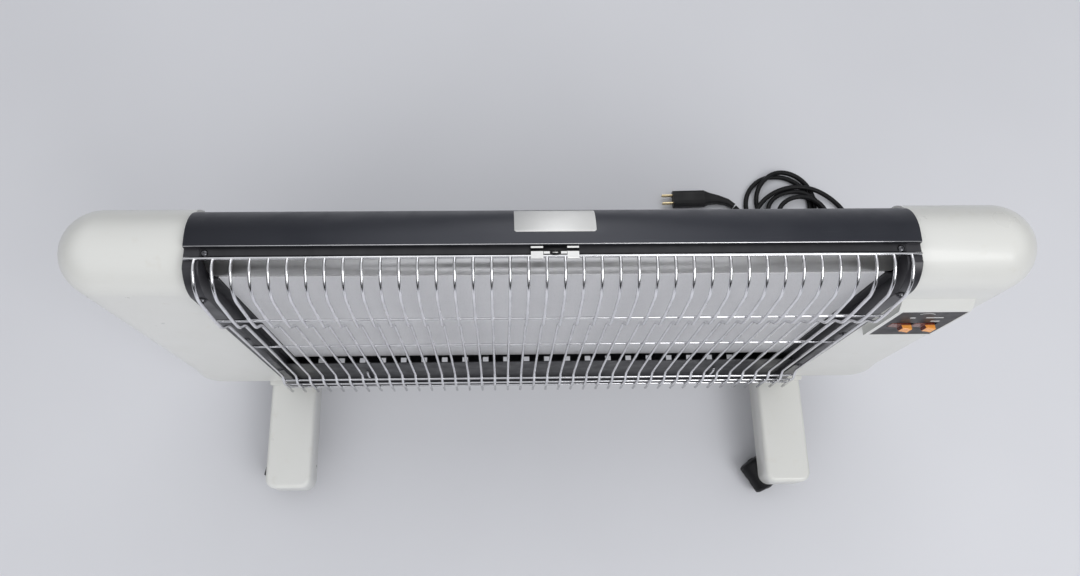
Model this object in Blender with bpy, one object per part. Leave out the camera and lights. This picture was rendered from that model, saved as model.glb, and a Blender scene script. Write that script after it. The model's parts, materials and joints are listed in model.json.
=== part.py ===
"""Far-infrared panel heater on two feet with casters. Metres, +Z up, front faces -Y."""

from math import asin, cos, degrees, pi, radians, sin, sqrt

import bmesh
import bpy
from mathutils import Matrix, Vector

GAP = 0.0003

# White side covers
COVER_IN = 0.3225
COVER_OUT = 0.4500
COVER_BOTTOM = 0.0830
COVER_TOP = 0.4820
COVER_Y = 0.0415
COVER_HALF = 0.0410
COVER_TOP_CORNER = 0.0425
COVER_LOW_CORNER = 0.0450
COVER_LOW_EDGE = 0.0050
COVER_FULL_EDGE = 0.0406
COVER_RIM = 0.0412
COVER_WALL = 0.0025
COVER_LIP = 0.0090

# Centre unit: the section that cheeks and covers follow
UNIT_FRONT = -0.0065
UNIT_BACK = 0.0740
UNIT_TOP = 0.4910
UNIT_RADIUS = 0.0350
UNIT_HALF_WIDTH = 0.3222
CHEEK_IN = 0.3085
CHEEK_WALL = 0.0012
SHEET = 0.0010
SIDE_GAP = 0.0002
TOP_LIP_Y = 0.0298
TOP_COVER_LOW = 0.4300
GROOVE_Z = 0.4868
GROOVE_BACK_Y = 0.0306
COVER_SCREW = (0.3040, 0.0249)
LABEL_HALF_WIDTH = 0.0360
LABEL_ARC = (86, 36)
SCREW_HOLE_X = 0.3150
SCREW_HOLE_HEIGHTS = (0.180, 0.320, 0.454)
SCREW_HOLE_RADIUS = 0.0030
INNER_HALF_WIDTH = CHEEK_IN - GAP

# Floor of the centre unit and its lower front rail
PLATE_BOTTOM = 0.0845
PLATE_TOP = 0.0860
SLOT_PITCH = 0.0270
SLOT_COUNT = 21
SLOT_WIDTH = 0.0074
SLOT_SHIFT = 0.0126
SLOT_FRONT = 0.0085
SLOT_BACK = 0.0305
RAIL_FRONT = 0.0015
RAIL_BACK = 0.0085
RAIL_TOP = 0.1750

# Radiant panel and what stands round and behind it
PANEL_FRONT = 0.0115
PANEL_DEPTH = 0.0080
PANEL_HALF_WIDTH = 0.2985
PANEL_BOTTOM = 0.1716
PANEL_TOP = 0.4620
STRIP_STEP = 0.0015
# Profiles as (y, z): the top rail's face, and the upper and lower edges of the reflector strip
TOP_RAIL_PATH = ((0.0366, GROOVE_Z), (0.0226, GROOVE_Z), (0.0217, 0.4860), (0.0214, 0.4790))
REFLECTOR_TOP = (0.0238, 0.4800)
REFLECTOR_LOW = (0.0118, 0.4635)
REFLECTOR_SAG = (0.0014, -0.0012)
REFLECTOR_CORNER = 0.0080
REFLECTOR_WALL = 0.0008
ELEMENT_HEIGHTS = (0.2550, 0.3750)
ELEMENT_RADIUS = 0.0038
ELEMENT_BEND = 0.0250
ELEMENT_REACH = 0.2600
ELEMENT_Y = 0.0245
BACK_SHEET_Y = (0.0310, 0.0318)
BOARD_Y = (0.0322, 0.0382)
BOARD_HALF_WIDTH = 0.2900
BOARD_HEIGHTS = (0.1800, 0.4500)
VENT_COUNT = 12
VENT_PITCH = 0.0460
VENT_LENGTH = 0.0340
VENT_HALF_HEIGHT = 0.0030
VENT_ROWS = (0.130, 0.250, 0.370)

# Wire guard
WIRE_COUNT = 40
WIRE_PITCH = 0.0160
WIRE = 0.0026
ROD_END = 0.3134
TOP_ROD_END = 0.3205
# The guard's path as (y, z), from the top rod down: over the front, a step back, and the apron
GUARD_PATH = (
    (0.0192, 0.4885),
    (0.0090, 0.4888),
    (-0.0035, 0.4820),
    (-0.0118, 0.4680),
    (-0.0165, 0.4200),
    (-0.0172, 0.3990),
    (-0.0096, 0.3820),
    (-0.0112, 0.1680),
    (-0.0188, 0.1580),
    (-0.0190, 0.1130),
)
GUARD_RODS = (0.4125, 0.2935, 0.1600, 0.1440, 0.1290)
CLIP_Z = 0.4907
CLIP_FRONT_Y = 0.0150
CLIP_HALF_WIDTH = 0.0220
CLIP_SHEET = 0.0005

# Switch box on the right cover
BOX_LEFT = 0.3340
BOX_RIGHT = 0.4045
BOX_BOTTOM = 0.3200
BOX_TOP = 0.4170
BOX_FRONT = -0.0085
BOX_CHAMFER = ((BOX_FRONT + 0.0010, 0.4062), (BOX_FRONT, 0.4040))
SWITCH_PLATE = (0.3390, 0.4032, 0.3225, 0.4025)
PLATE_RECESS = 0.0016
ROCKER_CENTRES = (0.3565, 0.3805)
ROCKER_Z = 0.3580
ROCKER_WIDTH = 0.0215
ROCKER_HEIGHT = 0.0120
ROCKER_THROW = radians(10)
ROCKER_PIVOT_Y = -0.0045
ROCKER_STEP = 0.0038
HOUSING_WALL = 0.0007
HOUSING_BACK = 0.0200

# Feet and brackets
FOOT_X = 0.3194
FOOT_HALF_WIDTH = 0.0287
FOOT_FRONT = -0.1355
FOOT_BACK = 0.1434
FOOT_BOTTOM = 0.0425
FOOT_TOP = 0.0800
FOOT_CORNER = 0.0130
FOOT_EDGE = 0.0050
FOOT_WALL = 0.0025
BRACKET_REACH = 0.0309
BRACKET_FRONT = -0.0040
BRACKET_BACK = 0.0870

# Casters
STEM_SETBACK = 0.0290
STEM_RADIUS = 0.0040
STEM_TOP = 0.0700
WHEEL_RADIUS = 0.0190
WHEEL_INNER = 0.0022
WHEEL_OUTER = 0.0180
WHEEL_SIDES = 24
TRAIL = 0.0220
AXLE_RADIUS = 0.0025
AXLE_END = 0.0160
# Each caster's name, corner (x, y) signs and the direction that it trails in
CASTERS = (
    ("front_right", 1, -1, (-0.853, -0.522)),
    ("front_left", -1, -1, (-0.970, 0.243)),
    ("rear_right", 1, 1, (0.940, -0.341)),
    ("rear_left", -1, 1, (0.829, -0.559)),
)

# Cord
CORD_RADIUS = 0.0035
GLAND_X = 0.4000
GLAND_Z = 0.1300
GLAND_END_Y = 0.1100
GLAND_NECK = 0.0058
GLAND_SIDES = 16
COIL_CENTRE = (0.3950, 0.2650)
COIL_INNER = 0.0560
COIL_OUTER = 0.0720
COIL_LOW = 0.0002
COIL_HEIGHT = 0.0210
CORD_ROUTE = (
    (0.4000, 0.1105, 0.1300),
    (0.4000, 0.1190, 0.1300),
    (0.4000, 0.1270, 0.1293),
    (0.3998, 0.1370, 0.1256),
    (0.3993, 0.1450, 0.1175),
    (0.3985, 0.1500, 0.1060),
    (0.3972, 0.1520, 0.0920),
    (0.3955, 0.1525, 0.0740),
    (0.3935, 0.1525, 0.0560),
    (0.3910, 0.1535, 0.0400),
    (0.3880, 0.1575, 0.0250),
    (0.3835, 0.1650, 0.0125),
    (0.3775, 0.1755, 0.0055),
    (0.3715, 0.1860, 0.0037),
    (0.3660, 0.1942, 0.0037),
)
LEAD_ROUTE = (
    (0.3290, 0.2240, 0.0037),
    (0.3225, 0.2400, 0.0037),
    (0.3195, 0.2520, 0.0037),
    (0.3170, 0.2640, 0.0045),
    (0.3125, 0.2740, 0.0060),
    (0.3070, 0.2793, 0.0070),
)
# The plug's centreline and half sizes, from its strain relief to its face
PLUG_SECTIONS = (
    ((0.3059, 0.2802, 0.0071), 0.0042, 0.0042),
    ((0.2960, 0.2874, 0.0072), 0.0050, 0.0050),
    ((0.2830, 0.2912, 0.0074), 0.0064, 0.0058),
    ((0.2690, 0.2928, 0.0075), 0.0090, 0.0066),
    ((0.2610, 0.2930, 0.0077), 0.0130, 0.0075),
    ((0.2140, 0.2920, 0.0077), 0.0130, 0.0075),
)
BLADE_LENGTH = 0.0160
BLADE_SPREAD = 0.0063


def clear_scene():
    for obj in list(bpy.data.objects):
        bpy.data.objects.remove(obj, do_unlink=True)


def material(name, colour, roughness, metallic=0.0):
    """A Principled material of this name, made once."""
    made = bpy.data.materials.get(name)
    if made:
        return made
    made = bpy.data.materials.new(name)
    made.use_nodes = True
    shader = made.node_tree.nodes["Principled BSDF"]
    shader.inputs["Base Color"].default_value = (*colour, 1.0)
    shader.inputs["Roughness"].default_value = roughness
    shader.inputs["Metallic"].default_value = metallic
    made.diffuse_color = (*colour, 1.0)
    return made


def white_paint():
    return material("white_paint", (0.80, 0.80, 0.77), 0.35)


def charcoal_paint():
    return material("charcoal_paint", (0.055, 0.058, 0.070), 0.42, 0.2)


def grey_paint():
    return material("grey_paint", (0.22, 0.22, 0.24), 0.45, 0.3)


def bright_metal():
    return material("bright_metal", (0.75, 0.75, 0.76), 0.25, 1.0)


def chrome():
    return material("chrome", (0.85, 0.85, 0.86), 0.10, 1.0)


def black_plastic():
    return material("black_plastic", (0.018, 0.018, 0.020), 0.40)


def orange_plastic():
    return material("orange_plastic", (0.95, 0.28, 0.03), 0.25)


def board_fibre():
    return material("board_fibre", (0.62, 0.58, 0.50), 0.90)


def ceramic():
    return material("ceramic", (0.78, 0.76, 0.70), 0.60)


def add(name, points, faces, finish, smooth=True):
    """A mesh object with outward normals; round stretches shade smooth."""
    mesh = bpy.data.meshes.new(name)
    mesh.from_pydata([tuple(point) for point in points], [], faces)
    mesh.validate()
    mesh.materials.append(finish)
    obj = bpy.data.objects.new(name, mesh)
    bpy.context.scene.collection.objects.link(obj)
    turn_outward(mesh)
    if smooth:
        mesh.shade_smooth()
        mesh.set_sharp_from_angle(angle=radians(35))
    return obj


def turn_outward(mesh):
    """Makes the faces agree and point away from the solid."""
    shape = bmesh.new()
    shape.from_mesh(mesh)
    bmesh.ops.recalc_face_normals(shape, faces=shape.faces)
    shape.to_mesh(mesh)
    shape.free()


def loft(rings, closed_ring=True, caps=True):
    """Points and faces through rings of the same number of points."""
    size = len(rings[0])
    points = [point for ring in rings for point in ring]
    faces = []
    for row in range(len(rings) - 1):
        for step in range(size if closed_ring else size - 1):
            a = row * size + step
            b = row * size + (step + 1) % size
            faces.append((a, b, b + size, a + size))
    if caps:
        faces.append(tuple(range(size)))
        faces.append(tuple(range(len(points) - size, len(points))))
    return points, faces


def prism(name, outline, place, finish, smooth=True):
    """A closed outline carried from place(u, v, 0) to place(u, v, 1)."""
    rings = [[place(u, v, end) for u, v in outline] for end in (0, 1)]
    points, faces = loft(rings)
    return add(name, points, faces, finish, smooth)


def block(name, low, high, finish):
    """A box between two corners."""
    outline = [(low[0], low[1]), (high[0], low[1]), (high[0], high[1]), (low[0], high[1])]
    return prism(name, outline, lambda u, v, end: (u, v, high[2] if end else low[2]), finish, False)


def bevelled(obj, width, segments=2):
    """Rounds an object's edges with a Bevel modifier."""
    bevel = obj.modifiers.new("edges", "BEVEL")
    bevel.width = width
    bevel.segments = segments
    bevel.limit_method = "ANGLE"
    bevel.angle_limit = radians(40)
    return obj


def thicken(obj, thickness, offset=-1.0):
    """Gives a surface a wall, inward from its normals by default."""
    wall = obj.modifiers.new("wall", "SOLIDIFY")
    wall.thickness = thickness
    wall.offset = offset
    wall.use_even_offset = True
    return obj


def boolean(obj, other, operation):
    """Cuts with, or joins, a helper that is itself left out of the model."""
    other.hide_render = True
    other.display_type = "WIRE"
    cut = obj.modifiers.new(other.name, "BOOLEAN")
    cut.operation = operation
    cut.solver = "EXACT"
    cut.object = other
    return obj


def cylinder(name, start, end, radius, finish, sides=16, end_radius=None):
    """A round bar, or a cone, from one point to another."""
    axis = Vector(end) - Vector(start)
    turn = axis.to_track_quat("Z", "Y").to_matrix()
    rings = []
    for centre, size in ((start, radius), (end, radius if end_radius is None else end_radius)):
        ring = []
        for step in range(sides):
            angle = 2 * pi * step / sides
            ring.append(Vector(centre) + turn @ Vector((size * cos(angle), size * sin(angle), 0)))
        rings.append(ring)
    points, faces = loft(rings)
    return add(name, points, faces, finish)


def arc(centre, radius, start, end, steps):
    """Points on an arc, both ends in, with angles in degrees."""
    points = []
    for step in range(steps + 1):
        angle = radians(start + (end - start) * step / steps)
        points.append((centre[0] + radius * cos(angle), centre[1] + radius * sin(angle)))
    return points


def cover_outline():
    """The cover's front view as (x, z, inward normal, edge radius), bottom to top."""
    stations = [(COVER_IN, COVER_BOTTOM, (0, 1), COVER_LOW_EDGE)]
    corner = (COVER_OUT - COVER_LOW_CORNER, COVER_BOTTOM + COVER_LOW_CORNER)
    steps = 7
    for step in range(steps + 1):
        share = step / steps
        angle = radians(-90 + 90 * share)
        edge = COVER_LOW_EDGE + (COVER_FULL_EDGE - COVER_LOW_EDGE) * share * share * (3 - 2 * share)
        x = corner[0] + COVER_LOW_CORNER * cos(angle)
        z = corner[1] + COVER_LOW_CORNER * sin(angle)
        stations.append((x, z, (-cos(angle), -sin(angle)), edge))
    corner = (COVER_OUT - COVER_TOP_CORNER, COVER_TOP - COVER_TOP_CORNER)
    for x, z in arc(corner, COVER_TOP_CORNER, 0, 90, 7):
        inward = ((corner[0] - x) / COVER_TOP_CORNER, (corner[1] - z) / COVER_TOP_CORNER)
        stations.append((x, z, inward, COVER_FULL_EDGE))
    stations.append((COVER_IN, COVER_TOP, (0, -1), COVER_FULL_EDGE))
    return stations


def edge_section(edge):
    """(distance in from the outline, y from the middle) across the cover's thickness."""
    back = [(COVER_RIM, COVER_HALF)]
    for step in range(7):
        angle = radians(90 - 15 * step)
        back.append((edge - edge * cos(angle), COVER_HALF - edge + edge * sin(angle)))
    front = [(inset, -y) for inset, y in back]
    return front + back[::-1]


def side_cover(name, side):
    """A white shell, open towards the centre unit behind a narrow lip."""
    rings = []
    for x, z, inward, edge in cover_outline():
        ring = []
        for inset, y in edge_section(edge):
            across = x + inward[0] * inset
            ring.append((side * across, COVER_Y + y, z + inward[1] * inset))
        rings.append(ring)
    points, faces = loft(rings, closed_ring=False, caps=False)
    size = len(rings[0])
    last = (len(rings) - 1) * size
    faces.append(tuple(row * size for row in range(len(rings))))
    faces.append(tuple(row * size + size - 1 for row in range(len(rings))))
    mouth = list(range(size)) + list(range(last + size - 1, last - 1, -1))
    middle = (COVER_BOTTOM + COVER_TOP) / 2
    shrink_y = 1 - COVER_LIP / COVER_HALF
    shrink_z = 1 - COVER_LIP / (COVER_TOP - middle)
    lip = len(points)
    for index in mouth:
        x, y, z = points[index]
        points.append((x, COVER_Y + (y - COVER_Y) * shrink_y, middle + (z - middle) * shrink_z))
    for step in range(len(mouth)):
        after = (step + 1) % len(mouth)
        faces.append((mouth[step], mouth[after], lip + after, lip + step))
    obj = add(name, points, faces, white_paint())
    return thicken(obj, COVER_WALL)


def section(inset=0.0, under_cover=0.0, bottom=COVER_BOTTOM):
    """The centre unit's closed section as (y, z), inset all round, with the rod's groove."""
    radius = UNIT_RADIUS - inset
    centre_z = UNIT_TOP - UNIT_RADIUS
    front_y = UNIT_FRONT + UNIT_RADIUS
    back_y = UNIT_BACK - UNIT_RADIUS
    groove = GROOVE_Z - inset
    meets = 180 - degrees(asin((groove - centre_z) / radius))
    points = [(UNIT_FRONT + inset, bottom + inset)]
    points += arc((front_y, centre_z), radius, 180, meets, 6)
    points.append((GROOVE_BACK_Y - inset, groove))
    tucked = radius - under_cover
    points.append((GROOVE_BACK_Y - inset, centre_z + tucked))
    points += arc((back_y, centre_z), tucked, 90, 0, 7)
    points.append((back_y + tucked, bottom + inset))
    return points


def cheek(name, side):
    """A pressed end plate, open towards the side cover."""
    tuck = SHEET + GAP
    outer = section(0.0, tuck)
    inner = section(CHEEK_WALL, tuck)
    levels = (
        (outer, CHEEK_IN),
        (outer, UNIT_HALF_WIDTH),
        (inner, UNIT_HALF_WIDTH),
        (inner, CHEEK_IN + CHEEK_WALL),
    )
    rings = [[(side * x, y, z) for y, z in outline] for outline, x in levels]
    points, faces = loft(rings)
    obj = add(name, points, faces, grey_paint())
    for number, height in enumerate(SCREW_HOLE_HEIGHTS):
        start = (side * SCREW_HOLE_X, UNIT_FRONT - 0.002, height)
        end = (side * SCREW_HOLE_X, UNIT_FRONT + 0.004, height)
        hole = cylinder(f"{name}_hole_{number}", start, end, SCREW_HOLE_RADIUS, grey_paint(), 12)
        boolean(obj, hole, "DIFFERENCE")
    return obj


def bent_sheet(name, path, half_width, thickness, finish):
    """A sheet that follows a (y, z) path across the whole width; path runs on its outer face."""
    rings = [[(-half_width, y, z), (half_width, y, z)] for y, z in path]
    points, faces = loft(rings, closed_ring=False, caps=False)
    obj = add(name, points, faces, finish)
    return thicken(obj, thickness, offset=0.0)


def offset_path(path, distance):
    """The (y, z) path moved sideways by a distance, mitred at its bends."""
    moved = []
    for index, point in enumerate(path):
        before = Vector(path[max(index - 1, 0)])
        after = Vector(path[min(index + 1, len(path) - 1)])
        here = Vector(point)
        first = (here - before).normalized() if index else (after - here).normalized()
        second = (after - here).normalized() if index < len(path) - 1 else first
        normal = Vector((-(first.y + second.y), first.x + second.x)).normalized()
        stretch = 1 / max(0.5, normal.dot(Vector((-first.y, first.x))))
        moved.append(tuple(here + normal * distance * stretch))
    return moved


def top_cover():
    """Charcoal sheet from the front lip, over the top and down the back."""
    centre_z = UNIT_TOP - UNIT_RADIUS
    back_y = UNIT_BACK - UNIT_RADIUS
    path = [(TOP_LIP_Y, UNIT_TOP)] + arc((back_y, centre_z), UNIT_RADIUS, 90, 0, 10)
    path.append((UNIT_BACK, TOP_COVER_LOW))
    middle = offset_path(path, -SHEET / 2)
    return bent_sheet("top_cover", middle, UNIT_HALF_WIDTH - SIDE_GAP, SHEET, charcoal_paint())


def only_used(points, faces):
    """The points that a face uses, and the faces renumbered to match."""
    used = sorted({index for face in faces for index in face})
    renumber = {index: new for new, index in enumerate(used)}
    return [points[index] for index in used], [tuple(renumber[index] for index in face) for face in faces]


def pierced_sheet(name, lines_a, lines_b, place, holes, thickness, finish):
    """A flat sheet on a grid of lines, with the cells named in holes left open."""
    points = [place(a, b) for b in lines_b for a in lines_a]
    across = len(lines_a)
    faces = []
    for row in range(len(lines_b) - 1):
        for column in range(across - 1):
            if (column, row) in holes:
                continue
            corner = row * across + column
            faces.append((corner, corner + 1, corner + across + 1, corner + across))
    points, faces = only_used(points, faces)
    obj = add(name, points, faces, finish, smooth=False)
    return thicken(obj, thickness, offset=0.0)


def slot_lines(half_width, count, pitch, width, shift=0.0):
    """Grid lines across a sheet: its two edges and both sides of each slot."""
    lines = [-half_width]
    for number in range(count):
        centre = (number - (count - 1) / 2) * pitch + shift
        lines += [centre - width / 2, centre + width / 2]
    return lines + [half_width]


def bottom_plate():
    """The slotted floor of the centre unit."""
    lines_x = slot_lines(INNER_HALF_WIDTH, SLOT_COUNT, SLOT_PITCH, SLOT_WIDTH, SLOT_SHIFT - SLOT_PITCH)
    lines_y = [UNIT_FRONT + GAP, SLOT_FRONT, SLOT_BACK, UNIT_BACK - SHEET - GAP]
    holes = {(1 + 2 * number, 1) for number in range(SLOT_COUNT)}
    middle = (PLATE_BOTTOM + PLATE_TOP) / 2
    place = lambda x, y: (x, y, middle)
    thickness = PLATE_TOP - PLATE_BOTTOM
    return pierced_sheet("bottom_plate", lines_x, lines_y, place, holes, thickness, grey_paint())


def rear_cover():
    """Back sheet with rows of vents."""
    lines_x = slot_lines(UNIT_HALF_WIDTH - SIDE_GAP, VENT_COUNT, VENT_PITCH, VENT_LENGTH)
    lines_z = [PLATE_TOP + GAP]
    for height in VENT_ROWS:
        lines_z += [height - VENT_HALF_HEIGHT, height + VENT_HALF_HEIGHT]
    lines_z.append(TOP_COVER_LOW - GAP)
    rows = range(1, 2 * len(VENT_ROWS), 2)
    holes = {(1 + 2 * number, row) for number in range(VENT_COUNT) for row in rows}
    middle = UNIT_BACK - SHEET / 2
    place = lambda x, z: (x, middle, z)
    return pierced_sheet("rear_cover", lines_x, lines_z, place, holes, SHEET, charcoal_paint())


def tray(name, half_width, front, back, bottom, top, wall, finish):
    """A pressed pan: a front face with four walls, open at the back."""
    def ring(inset, y):
        x = half_width - inset
        return [(-x, y, bottom + inset), (x, y, bottom + inset), (x, y, top - inset), (-x, y, top - inset)]

    rings = [ring(0, front), ring(0, back), ring(wall, back), ring(wall, front + wall)]
    points, faces = loft(rings)
    return add(name, points, faces, finish, smooth=False)


def front_parts():
    """The panel, its side strips, the lower rail, the top rail and the reflector strip."""
    floor = PLATE_TOP + GAP
    face = RAIL_FRONT + SHEET / 2
    rail = [(face, RAIL_TOP), (face, floor + SHEET / 2), (RAIL_BACK, floor + SHEET / 2)]
    bent_sheet("lower_front_rail", rail, INNER_HALF_WIDTH, SHEET, grey_paint())
    panel_back = PANEL_FRONT + PANEL_DEPTH
    silver = material("panel_coat", (0.55, 0.55, 0.57), 0.55, 0.6)
    tray("heater_panel", PANEL_HALF_WIDTH, PANEL_FRONT, panel_back, PANEL_BOTTOM, PANEL_TOP, SHEET, silver)
    for name, side in (("panel_strip_left", -1), ("panel_strip_right", 1)):
        ends = sorted((side * (PANEL_HALF_WIDTH + GAP), side * INNER_HALF_WIDTH))
        low = (ends[0], PANEL_FRONT - STRIP_STEP, floor)
        high = (ends[1], PANEL_FRONT, PANEL_TOP)
        block(name, low, high, grey_paint())
    top_rail = offset_path(TOP_RAIL_PATH, SHEET / 2)
    bent_sheet("top_rail", top_rail, INNER_HALF_WIDTH, SHEET, charcoal_paint())
    reflector_strip()


def reflector_strip():
    """Bright strip above the panel, hollow in section, with round lower corners."""
    top = Vector(REFLECTOR_TOP)
    low = Vector(REFLECTOR_LOW)
    length = (low - top).length
    flat = INNER_HALF_WIDTH - REFLECTOR_CORNER
    rings = []
    for share in (0.0, 0.2, 0.4, 0.55, 0.65, 0.75, 0.84, 0.91, 0.96, 1.0):
        place = top.lerp(low, share) + Vector(REFLECTOR_SAG) * 4 * share * (1 - share)
        into_corner = max(0.0, REFLECTOR_CORNER - (1 - share) * length)
        half = flat + sqrt(REFLECTOR_CORNER**2 - into_corner**2)
        rings.append([(-half, place.x, place.y), (half, place.x, place.y)])
    points, faces = loft(rings, closed_ring=False, caps=False)
    obj = add("reflector_strip", points, faces, bright_metal())
    return thicken(obj, REFLECTOR_WALL, offset=0.0)


def heater_element(name, height):
    """A sheathed element bent into a long U, with its ends to the right."""
    bend = arc((-ELEMENT_REACH, 0.0), ELEMENT_BEND, 90, 270, 8)
    route = [(ELEMENT_REACH, ELEMENT_BEND)] + bend + [(ELEMENT_REACH, -ELEMENT_BEND)]
    tube(name, [(x, ELEMENT_Y, height + z) for x, z in route], ELEMENT_RADIUS, bright_metal())


def tube(name, points, radius, finish, resolution=2):
    """A round tube along points, with closed ends."""
    curve = bpy.data.curves.new(name, "CURVE")
    curve.dimensions = "3D"
    curve.bevel_depth = radius
    curve.bevel_resolution = resolution
    curve.use_fill_caps = True
    spline = curve.splines.new("POLY")
    spline.points.add(len(points) - 1)
    for place, point in zip(spline.points, points):
        place.co = (*point, 1.0)
    curve.materials.append(finish)
    obj = bpy.data.objects.new(name, curve)
    bpy.context.scene.collection.objects.link(obj)
    return obj


def inner_parts():
    """What stands behind the panel and on the floor of the unit."""
    low, high = BOARD_HEIGHTS
    wide = BOARD_HALF_WIDTH
    front, back = BACK_SHEET_Y
    block("rear_reflector", (-wide, front, low), (wide, back, high), bright_metal())
    front, back = BOARD_Y
    block("insulation_board", (-wide, front, low), (wide, back, high), board_fibre())
    for name, height in zip(("heater_element_lower", "heater_element_upper"), ELEMENT_HEIGHTS):
        heater_element(name, height)
    cylinder("thermostat", (-0.2300, 0.0386, 0.4000), (-0.2300, 0.0500, 0.4000), 0.0090, ceramic())
    cylinder("thermal_fuse", (-0.1950, 0.0450, 0.3900), (-0.1950, 0.0450, 0.4100), 0.0030, ceramic())
    tip_switch = block("tip_over_switch", (0.2450, 0.0450, 0.0864), (0.2750, 0.0650, 0.1180), black_plastic())
    bevelled(tip_switch, 0.001)
    terminals = block("terminal_block", (0.1900, 0.0450, 0.0864), (0.2300, 0.0620, 0.1020), ceramic())
    bevelled(terminals, 0.001)


def guard_rows():
    """The guard's path as (y, z, kind of the stretch that follows): a wire or a rod."""
    half = WIRE / 2
    top_y, top_z = GUARD_PATH[0]
    rows = [(top_y + half, top_z, "top_rod"), (top_y - half, top_z, "wire")]
    waiting = list(GUARD_RODS)
    for start, end in zip(GUARD_PATH[1:], GUARD_PATH[2:]):
        rows.append((*start, "wire"))
        while waiting and waiting[0] > end[1]:
            z = waiting.pop(0)
            for edge, kind in ((z + half, "rod"), (z - half, "wire")):
                share = (edge - start[1]) / (end[1] - start[1])
                rows.append((start[0] + (end[0] - start[0]) * share, edge, kind))
    rows.append((*GUARD_PATH[-1], "end"))
    return rows


def wire_guard():
    """Wires and rods as one welded sheet of bars."""
    half = WIRE / 2
    lines = [-TOP_ROD_END]
    for number in range(WIRE_COUNT):
        centre = (number - (WIRE_COUNT - 1) / 2) * WIRE_PITCH
        lines += [centre - half, centre + half]
    lines.append(TOP_ROD_END)
    rows = guard_rows()
    across = len(lines)
    faces = []
    for row, (_, _, kind) in enumerate(rows[:-1]):
        for column in range(across - 1):
            between_wires = 0 < column < across - 2
            if column % 2 == 1 or kind == "top_rod" or (kind == "rod" and between_wires):
                corner = row * across + column
                faces.append((corner, corner + 1, corner + across + 1, corner + across))
    points, faces = only_used([(x, y, z) for y, z, _ in rows for x in lines], faces)
    obj = add("wire_guard", points, faces, chrome())
    return thicken(obj, WIRE, offset=0.0)


def top_fittings():
    """The clip over the guard's top rod, the two cover screws and the blank sticker."""
    clip = [(TOP_LIP_Y - GAP, CLIP_Z), (CLIP_FRONT_Y, CLIP_Z)]
    bent_sheet("guard_clip", clip, CLIP_HALF_WIDTH, CLIP_SHEET, black_plastic())
    screw_x, screw_y = COVER_SCREW
    for name, side in (("cover_screw_left", -1), ("cover_screw_right", 1)):
        dome_screw(name, (side * screw_x, screw_y, GROOVE_Z + GAP), 0.0030, 0.0018)
    centre = (UNIT_BACK - UNIT_RADIUS, UNIT_TOP - UNIT_RADIUS)
    sticker = arc(centre, UNIT_RADIUS + 0.0004, *LABEL_ARC, 8)
    paper = material("label_white", (0.88, 0.88, 0.86), 0.5)
    bent_sheet("label_blank", sticker, LABEL_HALF_WIDTH, 0.0003, paper)


def dome_screw(name, place, radius, height):
    """A low round head on a flat underside."""
    sides = 16
    rings = []
    for share in (1.0, 0.94, 0.72, 0.38):
        lift = height * sqrt(1 - share * share)
        ring = []
        for step in range(sides):
            angle = 2 * pi * step / sides
            ring.append((
                place[0] + radius * share * cos(angle),
                place[1] + radius * share * sin(angle),
                place[2] + lift,
            ))
        rings.append(ring)
    points, faces = loft(rings)
    return add(name, points, faces, bright_metal())


def switch_group(cover):
    """The box on the right cover, its plate, the two rockers and their housings."""
    face_y = COVER_Y - COVER_HALF
    back = face_y - GAP
    outline = [(back, BOX_BOTTOM), (back, BOX_TOP), *BOX_CHAMFER, (BOX_FRONT, BOX_BOTTOM)]
    place = lambda y, z, end: (BOX_RIGHT if end else BOX_LEFT, y, z)
    box = prism("switch_box", outline, place, white_paint(), smooth=False)
    left, right, low, high = SWITCH_PLATE
    seat = BOX_FRONT + PLATE_RECESS
    recess = block("switch_recess", (left, BOX_FRONT - 0.002, low), (right, seat, high), white_paint())
    boolean(box, recess, "DIFFERENCE")
    inner_low = (left + 0.002, seat - 0.001, low + 0.006)
    inner_high = (right - 0.002, 0.004, high - 0.010)
    boolean(box, block("switch_well", inner_low, inner_high, white_paint()), "DIFFERENCE")
    window_low = (left + 0.003, face_y - 0.003, ROCKER_Z - 0.011)
    window_high = (right - 0.003, face_y + 0.006, ROCKER_Z + 0.011)
    boolean(cover, block("cover_window", window_low, window_high, white_paint()), "DIFFERENCE")
    plate_low = (left + GAP, BOX_FRONT + SIDE_GAP, low + GAP)
    plate_high = (right - GAP, seat - GAP, high - GAP)
    plate = block("switch_plate", plate_low, plate_high, black_plastic())
    half = ROCKER_WIDTH / 2 + 0.0007
    tall = ROCKER_HEIGHT / 2 + 0.0007
    for name, centre in zip(("left", "right"), ROCKER_CENTRES):
        hole_low = (centre - half, BOX_FRONT - 0.002, ROCKER_Z - tall)
        hole_high = (centre + half, seat + 0.002, ROCKER_Z + tall)
        boolean(plate, block(f"rocker_hole_{name}", hole_low, hole_high, black_plastic()), "DIFFERENCE")
        rocker(f"switch_rocker_{name}", centre)
        housing(f"switch_housing_{name}", centre)


def rocker(name, centre):
    """A stepped key about an upright axis; at rest its thick right half stands out."""
    half = ROCKER_WIDTH / 2 - GAP
    tall = ROCKER_HEIGHT / 2 - GAP
    flush = BOX_FRONT - ROCKER_PIVOT_Y
    low_face = flush - half * sin(ROCKER_THROW)
    high_face = flush - 0.0012 - ROCKER_STEP
    back = 0.0014
    outline = [(-half, low_face), (-0.0010, flush - 0.0012), (0.0006, high_face)]
    outline += [(half - 0.0010, high_face), (half, high_face + 0.0010)]
    outline += [(half * 0.75, back), (-half * 0.75, back)]
    place = lambda x, y, end: (x, y, tall if end else -tall)
    obj = prism(name, outline, place, orange_plastic(), smooth=False)
    obj.location = (centre, ROCKER_PIVOT_Y, ROCKER_Z)
    obj.rotation_euler = (0, 0, -ROCKER_THROW)
    return obj


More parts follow.
